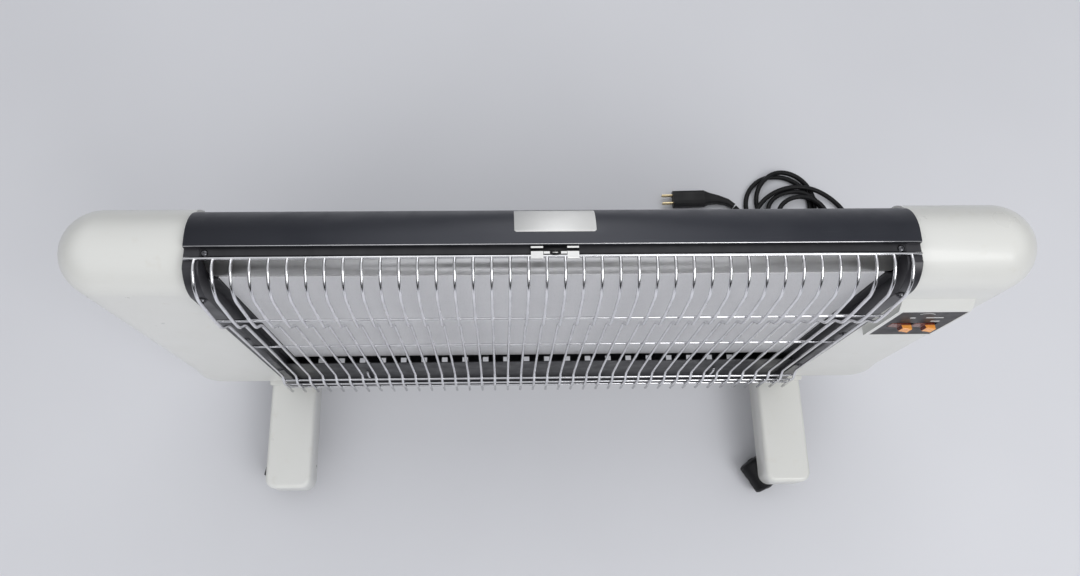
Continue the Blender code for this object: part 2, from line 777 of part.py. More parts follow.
def housing(name, centre):
    """The switch body behind a rocker: a cup that reaches through the cover's window."""
    def ring(margin, y):
        half_x = ROCKER_WIDTH / 2 + margin
        half_z = ROCKER_HEIGHT / 2 + margin
        return [
            (centre - half_x, y, ROCKER_Z - half_z),
            (centre + half_x, y, ROCKER_Z - half_z),
            (centre + half_x, y, ROCKER_Z + half_z),
            (centre - half_x, y, ROCKER_Z + half_z),
        ]

    mouth = BOX_FRONT + PLATE_RECESS + GAP
    inner = 0.0004
    outer = inner + HOUSING_WALL
    rings = [ring(outer, HOUSING_BACK), ring(outer, mouth), ring(inner, mouth), ring(inner, 0.0012)]
    points, faces = loft(rings)
    return add(name, points, faces, black_plastic(), smooth=False)


def rounded_plan(centre_x, half_width, front, back, corner, inset, steps=5):
    """A rectangle with round corners, seen from above."""
    radius = corner - inset
    points = []
    places = (
        (centre_x + half_width - corner, front + corner, -90),
        (centre_x + half_width - corner, back - corner, 0),
        (centre_x - half_width + corner, back - corner, 90),
        (centre_x - half_width + corner, front + corner, 180),
    )
    for x, y, start in places:
        points += arc((x, y), radius, start, start + 90, steps)
    return points


def foot(name, side):
    """A hollow foot, open below, with a boss for each caster's stem."""
    levels = [(0.0, FOOT_BOTTOM), (0.0, FOOT_TOP - FOOT_EDGE)]
    for angle in (30, 60, 90):
        inset = FOOT_EDGE * (1 - cos(radians(angle)))
        levels.append((inset, FOOT_TOP - FOOT_EDGE + FOOT_EDGE * sin(radians(angle))))
    rings = []
    for inset, z in levels:
        plan = rounded_plan(side * FOOT_X, FOOT_HALF_WIDTH, FOOT_FRONT, FOOT_BACK, FOOT_CORNER, inset)
        rings.append([(x, y, z) for x, y in plan])
    points, faces = loft(rings, caps=False)
    faces.append(tuple(range(len(points) - len(rings[0]), len(points))))
    obj = add(name, points, faces, white_paint())
    thicken(obj, FOOT_WALL)
    for end, y in (("front", FOOT_FRONT + STEM_SETBACK), ("rear", FOOT_BACK - STEM_SETBACK)):
        low = (side * FOOT_X, y, FOOT_BOTTOM + 0.0005)
        high = (side * FOOT_X, y, FOOT_TOP - 0.0012)
        boolean(obj, cylinder(f"{name}_boss_{end}", low, high, 0.0080, white_paint()), "UNION")
        bore_low = (side * FOOT_X, y, FOOT_BOTTOM - 0.0020)
        bore_high = (side * FOOT_X, y, STEM_TOP + 0.0010)
        bore = cylinder(f"{name}_bore_{end}", bore_low, bore_high, STEM_RADIUS + 0.0004, white_paint())
        boolean(obj, bore, "DIFFERENCE")
    return obj


def foot_bracket(name, side):
    """The flat plate that joins a foot to the body."""
    plan = rounded_plan(side * FOOT_X, BRACKET_REACH, BRACKET_FRONT, BRACKET_BACK, 0.0030, 0.0, 3)
    place = lambda x, y, end: (x, y, COVER_BOTTOM - GAP if end else FOOT_TOP + GAP)
    return prism(name, plan, place, white_paint())


def hood_mesh():
    """The caster's hood, fin, housing and stem, with the stem on the Z axis; wheels trail to +X."""
    steps = 9
    rings = []
    for angle in [radians(15 + 125 * step / steps) for step in range(steps + 1)]:
        ring = []
        for radius, across in ((0.0196, -0.0172), (0.0196, 0.0172), (0.0212, 0.0172), (0.0212, -0.0172)):
            ring.append((TRAIL + radius * cos(angle), across, WHEEL_RADIUS + radius * sin(angle)))
        rings.append(ring)
    points, faces = loft(rings)
    hood = add("hood_shell", points, faces, black_plastic())
    centre = (TRAIL, WHEEL_RADIUS)
    outline = arc(centre, 0.0203, 15, 140, 9) + [(-0.0040, 0.0330), (-0.0040, 0.0240)]
    outline += [(TRAIL - 0.0030, 0.0130), (TRAIL + 0.0040, 0.0130)]
    place = lambda x, z, end: (x, 0.0017 if end else -0.0017, z)
    fin = prism("hood_fin", outline, place, black_plastic())
    post = cylinder("hood_post", (0, 0, 0.0290), (0, 0, 0.0412), 0.0062, black_plastic(), 16)
    stem = cylinder("hood_stem", (0, 0, 0.0350), (0, 0, STEM_TOP), STEM_RADIUS, black_plastic(), 16)
    ends = [(TRAIL, across, WHEEL_RADIUS) for across in (-0.0050, 0.0050)]
    bore = cylinder("hood_bore", *ends, AXLE_RADIUS + GAP, black_plastic(), 12)
    for other, operation in ((fin, "UNION"), (post, "UNION"), (stem, "UNION"), (bore, "DIFFERENCE")):
        boolean(hood, other, operation)
    bpy.context.view_layer.update()
    graph = bpy.context.evaluated_depsgraph_get()
    mesh = bpy.data.meshes.new_from_object(hood.evaluated_get(graph))
    for helper in (hood, fin, post, stem, bore):
        bpy.data.objects.remove(helper, do_unlink=True)
    return mesh


def wheel_rings():
    """A wheel about the Y axis with its open side towards -Y, a flat at the bottom and a blind bore."""
    # Corners stand outside the circle by this much, so that the flats touch it.
    tread = WHEEL_RADIUS / cos(pi / WHEEL_SIDES)
    bore = AXLE_RADIUS + GAP
    profile = (
        (0.0222, 0.0030),
        (0.0212, 0.0100),
        (0.0198, 0.0160),
        (WHEEL_OUTER, tread),
        (WHEEL_INNER, tread),
        (WHEEL_INNER, bore),
        (AXLE_END + GAP, bore),
    )
    rings = []
    for across, radius in profile:
        ring = []
        for step in range(WHEEL_SIDES):
            angle = 2 * pi * (step + 0.5) / WHEEL_SIDES
            ring.append((radius * sin(angle), across, -radius * cos(angle)))
        rings.append(ring)
    return rings


def caster(name, stem_x, stem_y, heading, mesh):
    """One swivelling twin-wheel caster."""
    turn = Matrix.Rotation(Vector(heading).angle_signed(Vector((1, 0))), 4, "Z")
    swivel = bpy.data.objects.new(f"caster_{name}", mesh)
    bpy.context.scene.collection.objects.link(swivel)
    swivel.matrix_world = Matrix.Translation((stem_x, stem_y, 0)) @ turn
    axle_place = swivel.matrix_world @ Matrix.Translation((TRAIL, 0, WHEEL_RADIUS))
    axle = cylinder(f"axle_{name}", (0, -AXLE_END, 0), (0, AXLE_END, 0), AXLE_RADIUS, bright_metal(), 12)
    axle.matrix_world = axle_place
    for letter, half_turn in (("a", 0.0), ("b", pi)):
        points, faces = loft(wheel_rings())
        wheel = add(f"wheel_{name}_{letter}", points, faces, black_plastic())
        wheel.matrix_world = axle_place @ Matrix.Rotation(half_turn, 4, "Z")


def casters():
    mesh = hood_mesh()
    for name, side, end, heading in CASTERS:
        stem_y = FOOT_FRONT + STEM_SETBACK if end < 0 else FOOT_BACK - STEM_SETBACK
        caster(name, side * FOOT_X, stem_y, heading, mesh)


def smooth_route(route, spacing):
    """Evenly spaced points on a smooth curve through the route."""
    dense = []
    ends = [route[0]] + list(route) + [route[-1]]
    for index in range(1, len(ends) - 2):
        p0, p1, p2, p3 = (Vector(ends[index + k]) for k in (-1, 0, 1, 2))
        for step in range(12):
            t = step / 12
            blend = 2 * p1 + (p2 - p0) * t + (2 * p0 - 5 * p1 + 4 * p2 - p3) * t * t
            dense.append(0.5 * (blend + (3 * p1 - p0 - 3 * p2 + p3) * t**3))
    dense.append(Vector(route[-1]))
    total = sum((b - a).length for a, b in zip(dense, dense[1:]))
    count = max(2, round(total / spacing))
    picked = [dense[0]]
    walked = 0.0
    for a, b in zip(dense, dense[1:]):
        walked += (b - a).length
        if walked >= total * len(picked) / count and len(picked) < count:
            picked.append(b)
    return [tuple(point) for point in picked] + [tuple(dense[-1])]


def ring_of(centre, radius, sides, place):
    """Points round a circle, each put in space by place(u, v)."""
    ring = []
    for step in range(sides):
        angle = 2 * pi * step / sides
        ring.append(place(centre[0] + radius * cos(angle), centre[1] + radius * sin(angle)))
    return ring


def gland(cover):
    """The strain relief in the right cover's back, with its hole."""
    back = COVER_Y + COVER_HALF
    profile = (
        (0.0720, GLAND_NECK),
        (back + GAP, GLAND_NECK),
        (back + GAP, 0.0095),
        (0.0870, 0.0090),
        (GLAND_END_Y, 0.0050),
    )
    rings = []
    for y, radius in profile:
        rings.append(ring_of((GLAND_X, GLAND_Z), radius, GLAND_SIDES, lambda x, z: (x, y, z)))
    points, faces = loft(rings)
    add("cord_gland", points, faces, black_plastic())
    ends = [(GLAND_X, y, GLAND_Z) for y in (back - 0.0120, back + 0.0080)]
    boolean(cover, cylinder("gland_hole", *ends, GLAND_NECK + 0.0004, white_paint()), "DIFFERENCE")


def coil():
    """The coiled length of cord, kept as a turned ring."""
    profile = (
        (COIL_INNER, COIL_LOW),
        (COIL_OUTER, COIL_LOW),
        (COIL_OUTER, COIL_HEIGHT),
        (COIL_INNER, COIL_HEIGHT),
        (COIL_INNER, COIL_LOW),
    )
    rings = [ring_of(COIL_CENTRE, radius, 32, lambda x, y: (x, y, z)) for radius, z in profile]
    points, faces = loft(rings, caps=False)
    size = len(rings[0])
    last = len(points) - size
    faces = [tuple(index - last if index >= last else index for index in face) for face in faces]
    add("cord_coil", points[:last], faces, black_plastic())


def cord_group(cover):
    """Gland, cord down to the coil, the coil, the lead to the plug, and the plug."""
    gland(cover)
    tube("power_cord", smooth_route(CORD_ROUTE, 4 * CORD_RADIUS), CORD_RADIUS, black_plastic())
    tube("cord_lead", smooth_route(LEAD_ROUTE, 4 * CORD_RADIUS), CORD_RADIUS, black_plastic())
    coil()
    plug()


def squarish(angle, half_width, half_height):
    """A point on an oval with flattened sides."""
    u = abs(cos(angle)) ** 0.6 * (1 if cos(angle) > 0 else -1) * half_width
    v = abs(sin(angle)) ** 0.6 * (1 if sin(angle) > 0 else -1) * half_height
    return u, v


def plug():
    """A two-blade plug lying on the floor, with its strain relief towards the lead."""
    centres = [Vector(place) for place, _, _ in PLUG_SECTIONS]
    rings = []
    for index, (place, half_width, half_height) in enumerate(PLUG_SECTIONS):
        along = centres[min(index + 1, len(centres) - 1)] - centres[max(index - 1, 0)]
        across = Vector((-along.y, along.x, 0)).normalized()
        ring = []
        for step in range(16):
            u, v = squarish(2 * pi * (step + 0.5) / 16, half_width, half_height)
            point = Vector(place) + across * u
            ring.append((point.x, point.y, place[2] + v))
        rings.append(ring)
    points, faces = loft(rings)
    add("plug_body", points, faces, black_plastic())
    heading = (centres[-1] - centres[-2]).normalized()
    across = Vector((-heading.y, heading.x, 0))
    brass = material("blade_brass", (0.72, 0.60, 0.35), 0.3, 1.0)
    for name, side in (("plug_blade_a", -1), ("plug_blade_b", 1)):
        root = centres[-1] + heading * GAP + across * (side * BLADE_SPREAD)
        ends = []
        for end in (root, root + heading * BLADE_LENGTH):
            ring = []
            for u, lift in ((-0.0008, -0.0032), (0.0008, -0.0032), (0.0008, 0.0032), (-0.0008, 0.0032)):
                point = end + across * u
                ring.append((point.x, point.y, end.z + lift))
            ends.append(ring)
        points, faces = loft(ends)
        add(name, points, faces, brass, smooth=False)


def main():
    clear_scene()
    side_cover("side_cover_left", -1)
    right_cover = side_cover("side_cover_right", 1)
    cheek("cheek_left", -1)
    cheek("cheek_right", 1)
    top_cover()
    rear_cover()
    bottom_plate()
    front_parts()
    inner_parts()
    wire_guard()
    top_fittings()
    switch_group(right_cover)
    for label, side in (("left", -1), ("right", 1)):
        foot(f"foot_{label}", side)
        foot_bracket(f"foot_bracket_{label}", side)
    casters()
    cord_group(right_cover)


main()
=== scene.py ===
"""The panel heater's looks: finer shells, round guard wires, mains cord, materials, light, camera."""

import json
from math import asin, cos, degrees, pi, radians, sin, sqrt

import bmesh
import bpy
import numpy as np
from mathutils import Matrix, Vector


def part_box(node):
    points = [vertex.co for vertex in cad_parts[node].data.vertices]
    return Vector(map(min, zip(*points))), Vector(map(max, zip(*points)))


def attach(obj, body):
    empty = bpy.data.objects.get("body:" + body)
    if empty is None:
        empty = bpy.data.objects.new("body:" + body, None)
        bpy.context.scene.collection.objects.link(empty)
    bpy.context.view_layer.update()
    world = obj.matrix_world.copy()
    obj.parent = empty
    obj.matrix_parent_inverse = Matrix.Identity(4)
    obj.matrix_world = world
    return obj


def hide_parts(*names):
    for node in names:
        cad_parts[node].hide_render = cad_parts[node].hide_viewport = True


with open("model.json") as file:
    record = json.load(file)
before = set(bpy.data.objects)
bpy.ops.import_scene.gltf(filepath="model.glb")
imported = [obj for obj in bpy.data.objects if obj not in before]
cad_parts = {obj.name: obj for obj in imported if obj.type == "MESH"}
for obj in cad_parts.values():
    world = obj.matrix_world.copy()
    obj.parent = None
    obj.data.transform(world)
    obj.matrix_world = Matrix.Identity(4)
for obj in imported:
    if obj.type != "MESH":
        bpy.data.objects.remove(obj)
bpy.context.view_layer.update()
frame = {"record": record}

# Camera: place, turns in radians, lens in millimetres and shift
CAMERA_PLACE = (-0.0493, -0.2404, 1.1735)
CAMERA_PITCH = 0.3197
CAMERA_YAW = -0.0713
CAMERA_ROLL = 0.0597
CAMERA_LENS = 28.15
CAMERA_SHIFT = (0.0199, 0.0048)
FLOOR_HALF = 4.0

# Outlines that the finer shells share with the CAD
COVER_IN = 0.3225
COVER_OUT = 0.4500
COVER_BOTTOM = 0.0830
COVER_TOP = 0.4820
COVER_Y = 0.0415
COVER_HALF = 0.0410
COVER_TOP_CORNER = 0.0425
COVER_LOW_CORNER = 0.0450
COVER_LOW_EDGE = 0.0050
COVER_FULL_EDGE = 0.0406
COVER_RIM = 0.0412
COVER_WALL = 0.0025
COVER_LIP = 0.0090
BOX_FRONT = -0.0085
UNIT_FRONT = -0.0065
UNIT_BACK = 0.0740
UNIT_TOP = 0.4910
UNIT_RADIUS = 0.0350
UNIT_HALF_WIDTH = 0.3222
CHEEK_IN = 0.3085
CHEEK_WALL = 0.0012
SHEET = 0.0010
GAP = 0.0003
TOP_LIP_Y = 0.0298
TOP_COVER_LOW = 0.4300
HEM_RADIUS = 0.0004
LABEL_HALF_WIDTH = 0.0360
LABEL_CORNER = 0.0015
LABEL_ARC = (86, 36)
LABEL_LIFT = 0.0002
LABEL_SHEET = 0.00015
GROOVE_Z = 0.4868
GROOVE_BACK_Y = 0.0306
PANEL_SHEET = 0.0010
REFLECTOR_TOP = Vector((0.0238, 0.4800))
REFLECTOR_LOW = Vector((0.0120, 0.4642))
REFLECTOR_SAG = Vector((0.0020, -0.0017))
REFLECTOR_CORNER = 0.0080
REFLECTOR_SHEET = 0.0008
# Screws on each cheek's flange: height, and how far the head stands out
CHEEK_SCREW_X = 0.3132
CHEEK_SCREWS = ((0.180, 0.0016), (0.320, 0.0016), (0.454, 0.0040))
CHEEK_SCREW_RADIUS = 0.0036
COVER_SCREW_HEAD = (0.0031, 0.0017)

# Switches: the keys' half width, half height, throw, step and back face
KEY_HALF_WIDTH = 0.01045
KEY_HALF_HEIGHT = 0.0057
KEY_THROW = radians(10)
KEY_STEP = 0.0050
KEY_BACK = 0.0014
PRINT_HEIGHT = 0.0022
PRINT_LIFT = 0.00012

# Feet and casters
FOOT_CORNER = 0.0130
FOOT_EDGE = 0.0050
FOOT_WALL = 0.0025
STEM_SETBACK = 0.0290
FIN_HALF = 0.0016
HOOK_PLACES = (-0.2150, 0.2200)
HOOK_RADIUS = 0.0014
HOOK_STAND = 0.0040

# Wire guard
WIRE_COUNT = 40
WIRE_PITCH = 0.0160
WIRE_RADIUS = 0.0015
ROD_RADIUS = 0.0014
BEND_REACH = 0.0060
WELD_DEPTH = 0.0003
ROD_END = 0.3134
TOP_ROD_END = 0.3205
GUARD_PATH = (
    (0.0192, 0.4885),
    (0.0090, 0.4888),
    (-0.0035, 0.4820),
    (-0.0118, 0.4680),
    (-0.0165, 0.4200),
    (-0.0172, 0.3990),
    (-0.0096, 0.3820),
    (-0.0112, 0.1680),
    (-0.0188, 0.1580),
    (-0.0190, 0.1130),
)
GUARD_RODS = (0.4125, 0.2935, 0.1600, 0.1440, 0.1290)
# The clip over the top rod, as spans in x; heights are measured down from its top
CLIP_TOP = GUARD_PATH[0][1] + 0.0022
CLIP_TABS = ((-0.0219, -0.0112), (0.0098, 0.0200))
CLIP_BLOCKS = ((-0.0108, -0.0055), (0.0042, 0.0095))
CLIP_SHEET = 0.0004
CLIP_BAND_SHEET = 0.0005

# Mains cord: 1.9 m of 7 mm lead
CORD_RADIUS = 0.0035
CORD_FLOOR = 0.0037
CORD_SPACING = 0.0050
CORD_POINT_SPACING = 0.0055
CORD_ROUTE = (
    (0.4000, 0.1105, 0.1300),
    (0.4000, 0.1190, 0.1300),
    (0.4000, 0.1270, 0.1293),
    (0.3998, 0.1370, 0.1256),
    (0.3993, 0.1450, 0.1175),
    (0.3985, 0.1500, 0.1060),
    (0.3972, 0.1520, 0.0920),
    (0.3955, 0.1525, 0.0740),
    (0.3935, 0.1525, 0.0560),
    (0.3910, 0.1535, 0.0400),
    (0.3880, 0.1575, 0.0250),
    (0.3835, 0.1650, 0.0125),
    (0.3775, 0.1755, 0.0055),
    (0.3715, 0.1860, 0.0037),
    (0.3660, 0.1942, 0.0037),
)
LEAD_ROUTE = (
    (0.3290, 0.2240, 0.0037),
    (0.3225, 0.2400, 0.0037),
    (0.3195, 0.2520, 0.0037),
    (0.3170, 0.2640, 0.0045),
    (0.3125, 0.2740, 0.0060),
    (0.3070, 0.2793, 0.0070),
)
COIL_START = 224
COIL_EXTRA = 0.10
COIL_RISE = 0.0028
# A point farther than this from the middle of its neighbours is eased
SHARPEST_STEP = 0.0004
# The coil's turns in order, each a centre and a radius, wound clockwise from above
COIL_TURNS = (
    ((0.3747, 0.2815), 0.0509),
    ((0.3870, 0.2945), 0.0437),
    ((0.3990, 0.2640), 0.0430),
    ((0.4060, 0.2600), 0.0360),
    ((0.4049, 0.2297), 0.0815),
)


# ---------------------------------------------------------------- materials


class Finish:
    """A Principled material built from object-space noise."""

    def __init__(self, name, colour, roughness, metallic=0.0):
        self.material = bpy.data.materials.new(name)
        self.material.use_nodes = True
        self.tree = self.material.node_tree
        self.shader = self.tree.nodes["Principled BSDF"]
        self.shader.inputs["Metallic"].default_value = metallic
        self.place = self.tree.nodes.new("ShaderNodeTexCoord").outputs["Object"]
        self.set_colour(colour)
        self.shader.inputs["Roughness"].default_value = roughness
        self.roughness = roughness
        self.bumps = None

    def set_colour(self, colour):
        self.colour = colour
        self.shader.inputs["Base Color"].default_value = (*colour, 1.0)

    def noise(self, scale, detail=3.0, stretch=(1, 1, 1)):
        """A noise value from 0 to 1; stretch above 1 packs the grain along that axis."""
        mapping = self.tree.nodes.new("ShaderNodeMapping")
        mapping.inputs["Scale"].default_value = stretch
        self.tree.links.new(self.place, mapping.inputs["Vector"])
        noise = self.tree.nodes.new("ShaderNodeTexNoise")
        noise.inputs["Scale"].default_value = scale
        noise.inputs["Detail"].default_value = detail
        self.tree.links.new(mapping.outputs["Vector"], noise.inputs["Vector"])
        return noise.outputs["Fac"]

    def ranged(self, value, low, high, start=0.3, end=0.7):
        node = self.tree.nodes.new("ShaderNodeMapRange")
        for socket, number in (("From Min", start), ("From Max", end), ("To Min", low), ("To Max", high)):
            node.inputs[socket].default_value = number
        self.tree.links.new(value, node.inputs["Value"])
        return node.outputs["Result"]

    def mottle(self, value, other, start=0.3, end=0.7):
        """Mixes the colour so far with another where value is high."""
        mix = self.tree.nodes.new("ShaderNodeMix")
        mix.data_type = "RGBA"
        base = self.shader.inputs["Base Color"]
        if base.is_linked:
            self.tree.links.new(base.links[0].from_socket, mix.inputs["A"])
        else:
            mix.inputs["A"].default_value = (*self.colour, 1.0)
        mix.inputs["B"].default_value = (*other, 1.0)
        self.tree.links.new(self.ranged(value, 0.0, 1.0, start, end), mix.inputs["Factor"])
        self.tree.links.new(mix.outputs["Result"], base)
        return self

    def worn(self, value, spread):
        """Lets the roughness wander by spread either way."""
        low = max(0.02, self.roughness - spread)
        self.tree.links.new(self.ranged(value, low, self.roughness + spread), self.shader.inputs["Roughness"])
        return self

    def bump(self, value, strength, distance=0.0002):
        node = self.tree.nodes.new("ShaderNodeBump")
        node.inputs["Strength"].default_value = strength
        node.inputs["Distance"].default_value = distance
        self.tree.links.new(value, node.inputs["Height"])
        if self.bumps:
            self.tree.links.new(self.bumps, node.inputs["Normal"])
        self.bumps = node.outputs["Normal"]
        self.tree.links.new(self.bumps, self.shader.inputs["Normal"])
        return self

    def coat(self, weight, roughness):
        self.shader.inputs["Coat Weight"].default_value = weight
        self.shader.inputs["Coat Roughness"].default_value = roughness
        return self


def white_shell():
    made = Finish("white_shell", (0.76, 0.765, 0.745), 0.34)
    made.mottle(made.noise(5.0), (0.72, 0.72, 0.69))
    made.mottle(made.noise(60.0, 6.0), (0.70, 0.69, 0.65), 0.62, 0.80)
    made.worn(made.noise(24.0, 5.0), 0.07)
    made.bump(made.noise(420.0, 2.0), 0.10)
    return made.coat(0.25, 0.12).material


def charcoal_paint():
    made = Finish("charcoal_coat", (0.045, 0.048, 0.060), 0.42, 0.15)
    made.mottle(made.noise(7.0), (0.058, 0.060, 0.072))
    made.mottle(made.noise(9.0, 6.0, (1, 60, 60)), (0.085, 0.087, 0.098), 0.66, 0.80)
    made.worn(made.noise(35.0, 5.0), 0.08)
    made.bump(made.noise(900.0, 2.0), 0.16)
    return made.material


def grey_paint():
    made = Finish("grey_coat", (0.040, 0.040, 0.046), 0.34, 0.1)
    made.mottle(made.noise(8.0), (0.030, 0.029, 0.034))
    made.worn(made.noise(40.0, 5.0), 0.08)
    made.bump(made.noise(900.0, 2.0), 0.10)
    return made.material


def dark_rail():
    made = Finish("dark_rail_coat", (0.016, 0.016, 0.019), 0.42, 0.1)
    made.mottle(made.noise(12.0, 4.0, (6, 1, 1)), (0.026, 0.026, 0.030))
    made.worn(made.noise(50.0, 5.0), 0.10)
    made.bump(made.noise(900.0, 2.0), 0.12)
    return made.material


def panel_coat():
    made = Finish("radiant_panel_coat", (0.66, 0.66, 0.68), 0.48, 0.2)
    made.mottle(made.noise(6.0, 4.0, (3, 1, 0.6)), (0.71, 0.71, 0.73))
    made.mottle(made.noise(700.0, 3.0), (0.55, 0.55, 0.56), 0.52, 0.74)
    made.worn(made.noise(90.0, 4.0), 0.08)
    made.bump(made.noise(800.0, 3.0), 0.35)
    return made.material


def chrome():
    made = Finish("chrome_wire", (0.86, 0.86, 0.88), 0.14, 1.0)
    made.mottle(made.noise(60.0, 5.0), (0.70, 0.70, 0.72), 0.45, 0.75)
    made.worn(made.noise(140.0, 5.0), 0.08)
    made.bump(made.noise(600.0, 3.0), 0.05)
    return made.material


def bright_strip():
    made = Finish("reflector_sheet", (0.94, 0.935, 0.92), 0.34, 1.0)
    made.mottle(made.noise(9.0, 5.0, (8, 1, 1)), (0.88, 0.875, 0.86))
    made.worn(made.noise(12.0, 5.0, (6, 1, 1)), 0.04)
    made.bump(made.noise(14.0, 4.0, (5, 1, 1)), 0.02)
    return made.material


def dark_chrome():
    made = Finish("dark_screw", (0.16, 0.16, 0.17), 0.22, 1.0)
    made.worn(made.noise(200.0, 4.0), 0.06)
    made.mottle(made.noise(90.0, 4.0), (0.11, 0.11, 0.12))
    return made.material


def sheath():
    made = Finish("element_sheath", (0.30, 0.27, 0.25), 0.45, 1.0)
    made.mottle(made.noise(30.0, 5.0), (0.20, 0.17, 0.16))
    made.worn(made.noise(90.0, 4.0), 0.10)
    return made.material


def black_moulding():
    made = Finish("black_moulding", (0.004, 0.004, 0.005), 0.42)
    made.shader.inputs["Specular IOR Level"].default_value = 0.3
    made.mottle(made.noise(40.0, 5.0), (0.008, 0.008, 0.009))
    made.worn(made.noise(60.0, 5.0), 0.08)
    made.bump(made.noise(1200.0, 2.0), 0.12)
    return made.material


def plate_print():
    made = Finish("switch_plate_sheet", (0.012, 0.010, 0.012), 0.40)
    made.shader.inputs["Specular IOR Level"].default_value = 0.25
    made.mottle(made.noise(30.0, 5.0), (0.022, 0.020, 0.022))
    made.worn(made.noise(80.0, 5.0), 0.07)
    made.bump(made.noise(1500.0, 2.0), 0.08)
    return made.material


def orange_key():
    """Amber on the half that stands out of the plate; dark red painted shade on the half that lies in it and
    on faces turned towards -X.
    """
    made = Finish("orange_key", (0.94, 0.33, 0.045), 0.26)
    made.mottle(made.noise(120.0, 3.0), (0.98, 0.44, 0.09))
    split = made.tree.nodes.new("ShaderNodeSeparateXYZ")
    made.tree.links.new(made.place.node.outputs["Generated"], split.inputs["Vector"])
    # Painted shade: dark red towards the back of the key, where it lies in the plate
    dark = (0.13, 0.016, 0.004)
    made.mottle(split.outputs["Y"], dark, 0.33, 0.41)
    # Painted shade: faces turned towards -X take the same dark red
    facing = made.tree.nodes.new("ShaderNodeSeparateXYZ")
    made.tree.links.new(made.place.node.outputs["Normal"], facing.inputs["Vector"])
    made.mottle(facing.outputs["X"], dark, -0.35, -0.80)
    made.worn(made.noise(200.0, 4.0), 0.05)
    return made.coat(0.4, 0.10).material


def board():
    made = Finish("fibre_board", (0.60, 0.55, 0.46), 0.92)
    made.mottle(made.noise(200.0, 5.0), (0.48, 0.43, 0.35))
    made.bump(made.noise(500.0, 4.0), 0.5)
    return made.material


def ceramic():
    made = Finish("ceramic_body", (0.74, 0.72, 0.66), 0.55)
    made.mottle(made.noise(90.0, 4.0), (0.66, 0.63, 0.57))
    made.bump(made.noise(700.0, 3.0), 0.2)
    return made.material


def sticker():
    made = Finish("blank_sticker", (0.84, 0.84, 0.83), 0.45)
    made.mottle(made.noise(50.0, 4.0), (0.79, 0.79, 0.78))
    made.bump(made.noise(900.0, 2.0), 0.06)
    return made.material


def brass():
    made = Finish("blade_metal", (0.70, 0.58, 0.34), 0.28, 1.0)
    made.worn(made.noise(200.0, 4.0), 0.08)
    made.mottle(made.noise(80.0, 4.0), (0.58, 0.47, 0.28))
    return made.material


def cord_skin():
    made = Finish("cord_skin", (0.004, 0.004, 0.005), 0.50)
    made.shader.inputs["Specular IOR Level"].default_value = 0.25
    made.mottle(made.noise(70.0, 5.0), (0.008, 0.008, 0.009))
    made.worn(made.noise(120.0, 5.0), 0.09)
    made.bump(made.noise(900.0, 3.0), 0.14)
    return made.material


def tread():
    made = Finish("wheel_tread", (0.006, 0.006, 0.007), 0.50)
    made.shader.inputs["Specular IOR Level"].default_value = 0.3
    made.mottle(made.noise(50.0, 6.0), (0.016, 0.015, 0.014), 0.60, 0.82)
    made.worn(made.noise(90.0, 5.0), 0.10)
    made.bump(made.noise(700.0, 3.0), 0.2)
    return made.material


def pale_floor():
    made = Finish("pale_floor", (0.70, 0.705, 0.74), 0.60)
    made.mottle(made.noise(3.0, 3.0), (0.68, 0.685, 0.72))
    made.bump(made.noise(300.0, 2.0), 0.03)
    return made.material


WHITE = white_shell()
CHARCOAL = charcoal_paint()
GREY = grey_paint()
RAIL = dark_rail()
PANEL = panel_coat()
CHROME = chrome()
BRIGHT = bright_strip()
SHEATH = sheath()
DARK_SCREW = dark_chrome()
BLACK = black_moulding()
PLATE = plate_print()
ORANGE = orange_key()
BOARD = board()
CERAMIC = ceramic()
STICKER = sticker()
BRASS = brass()
CORD = cord_skin()
TREAD = tread()


def dress(node, material):
    """Gives a CAD node's object a finished material."""
    obj = bpy.data.objects[node]
    if not obj.material_slots:
        obj.data.materials.append(material)
    for place in obj.material_slots:
        place.link = "OBJECT"
        place.material = material


# ---------------------------------------------------------------- mesh tools


def piece(name, points, faces, material, body="heater", smooth=30, replaced=(), slot=None):
    """A mesh piece with outward normals that rides on a body."""
    mesh = bpy.data.meshes.new(name)
    mesh.from_pydata([tuple(point) for point in points], [], faces)
    mesh.validate()
    shape = bmesh.new()
    shape.from_mesh(mesh)
    bmesh.ops.recalc_face_normals(shape, faces=shape.faces)
    shape.to_mesh(mesh)
    shape.free()
    if smooth:
        mesh.shade_smooth()
        mesh.set_sharp_from_angle(angle=radians(smooth))
    mesh.materials.append(material)
    obj = bpy.data.objects.new(name, mesh)
    bpy.context.scene.collection.objects.link(obj)
    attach(obj, body)
    if replaced:
        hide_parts(*replaced)
    return obj


def loft(rings, closed_ring=True, caps=True):
    """Points and faces through rings of equal length."""
    size = len(rings[0])
    points = [point for ring in rings for point in ring]
    faces = []
    for row in range(len(rings) - 1):
        for step in range(size if closed_ring else size - 1):
            a = row * size + step
            b = row * size + (step + 1) % size
            faces.append((a, b, b + size, a + size))
    if caps:
        faces.append(tuple(range(size)))
        faces.append(tuple(range(len(points) - size, len(points))))
    return points, faces


def sheet(path, x0, x1):
    """An open sheet between x0 and x1 along a (y, z) path."""
    return loft([[(x0, y, z), (x1, y, z)] for y, z in path], closed_ring=False, caps=False)


def circle(centre, side, other, sides):
    """Points round a centre; side and other are two radii at right angles."""
    turns = [2 * pi * step / sides for step in range(sides)]
    return [centre + side * cos(turn) + other * sin(turn) for turn in turns]


def merged(parts):
    """Several (points, faces) sets as one."""
    points = []
    faces = []
    for some_points, some_faces in parts:
        start = len(points)
        points += some_points
        faces += [tuple(start + index for index in face) for face in some_faces]
    return points, faces


def arc(centre, radius, start, end, steps):
    """Points on a circle between two angles in degrees."""
    points = []
    for step in range(steps + 1):
        angle = radians(start + (end - start) * step / steps)
        points.append((centre[0] + radius * cos(angle), centre[1] + radius * sin(angle)))
    return points


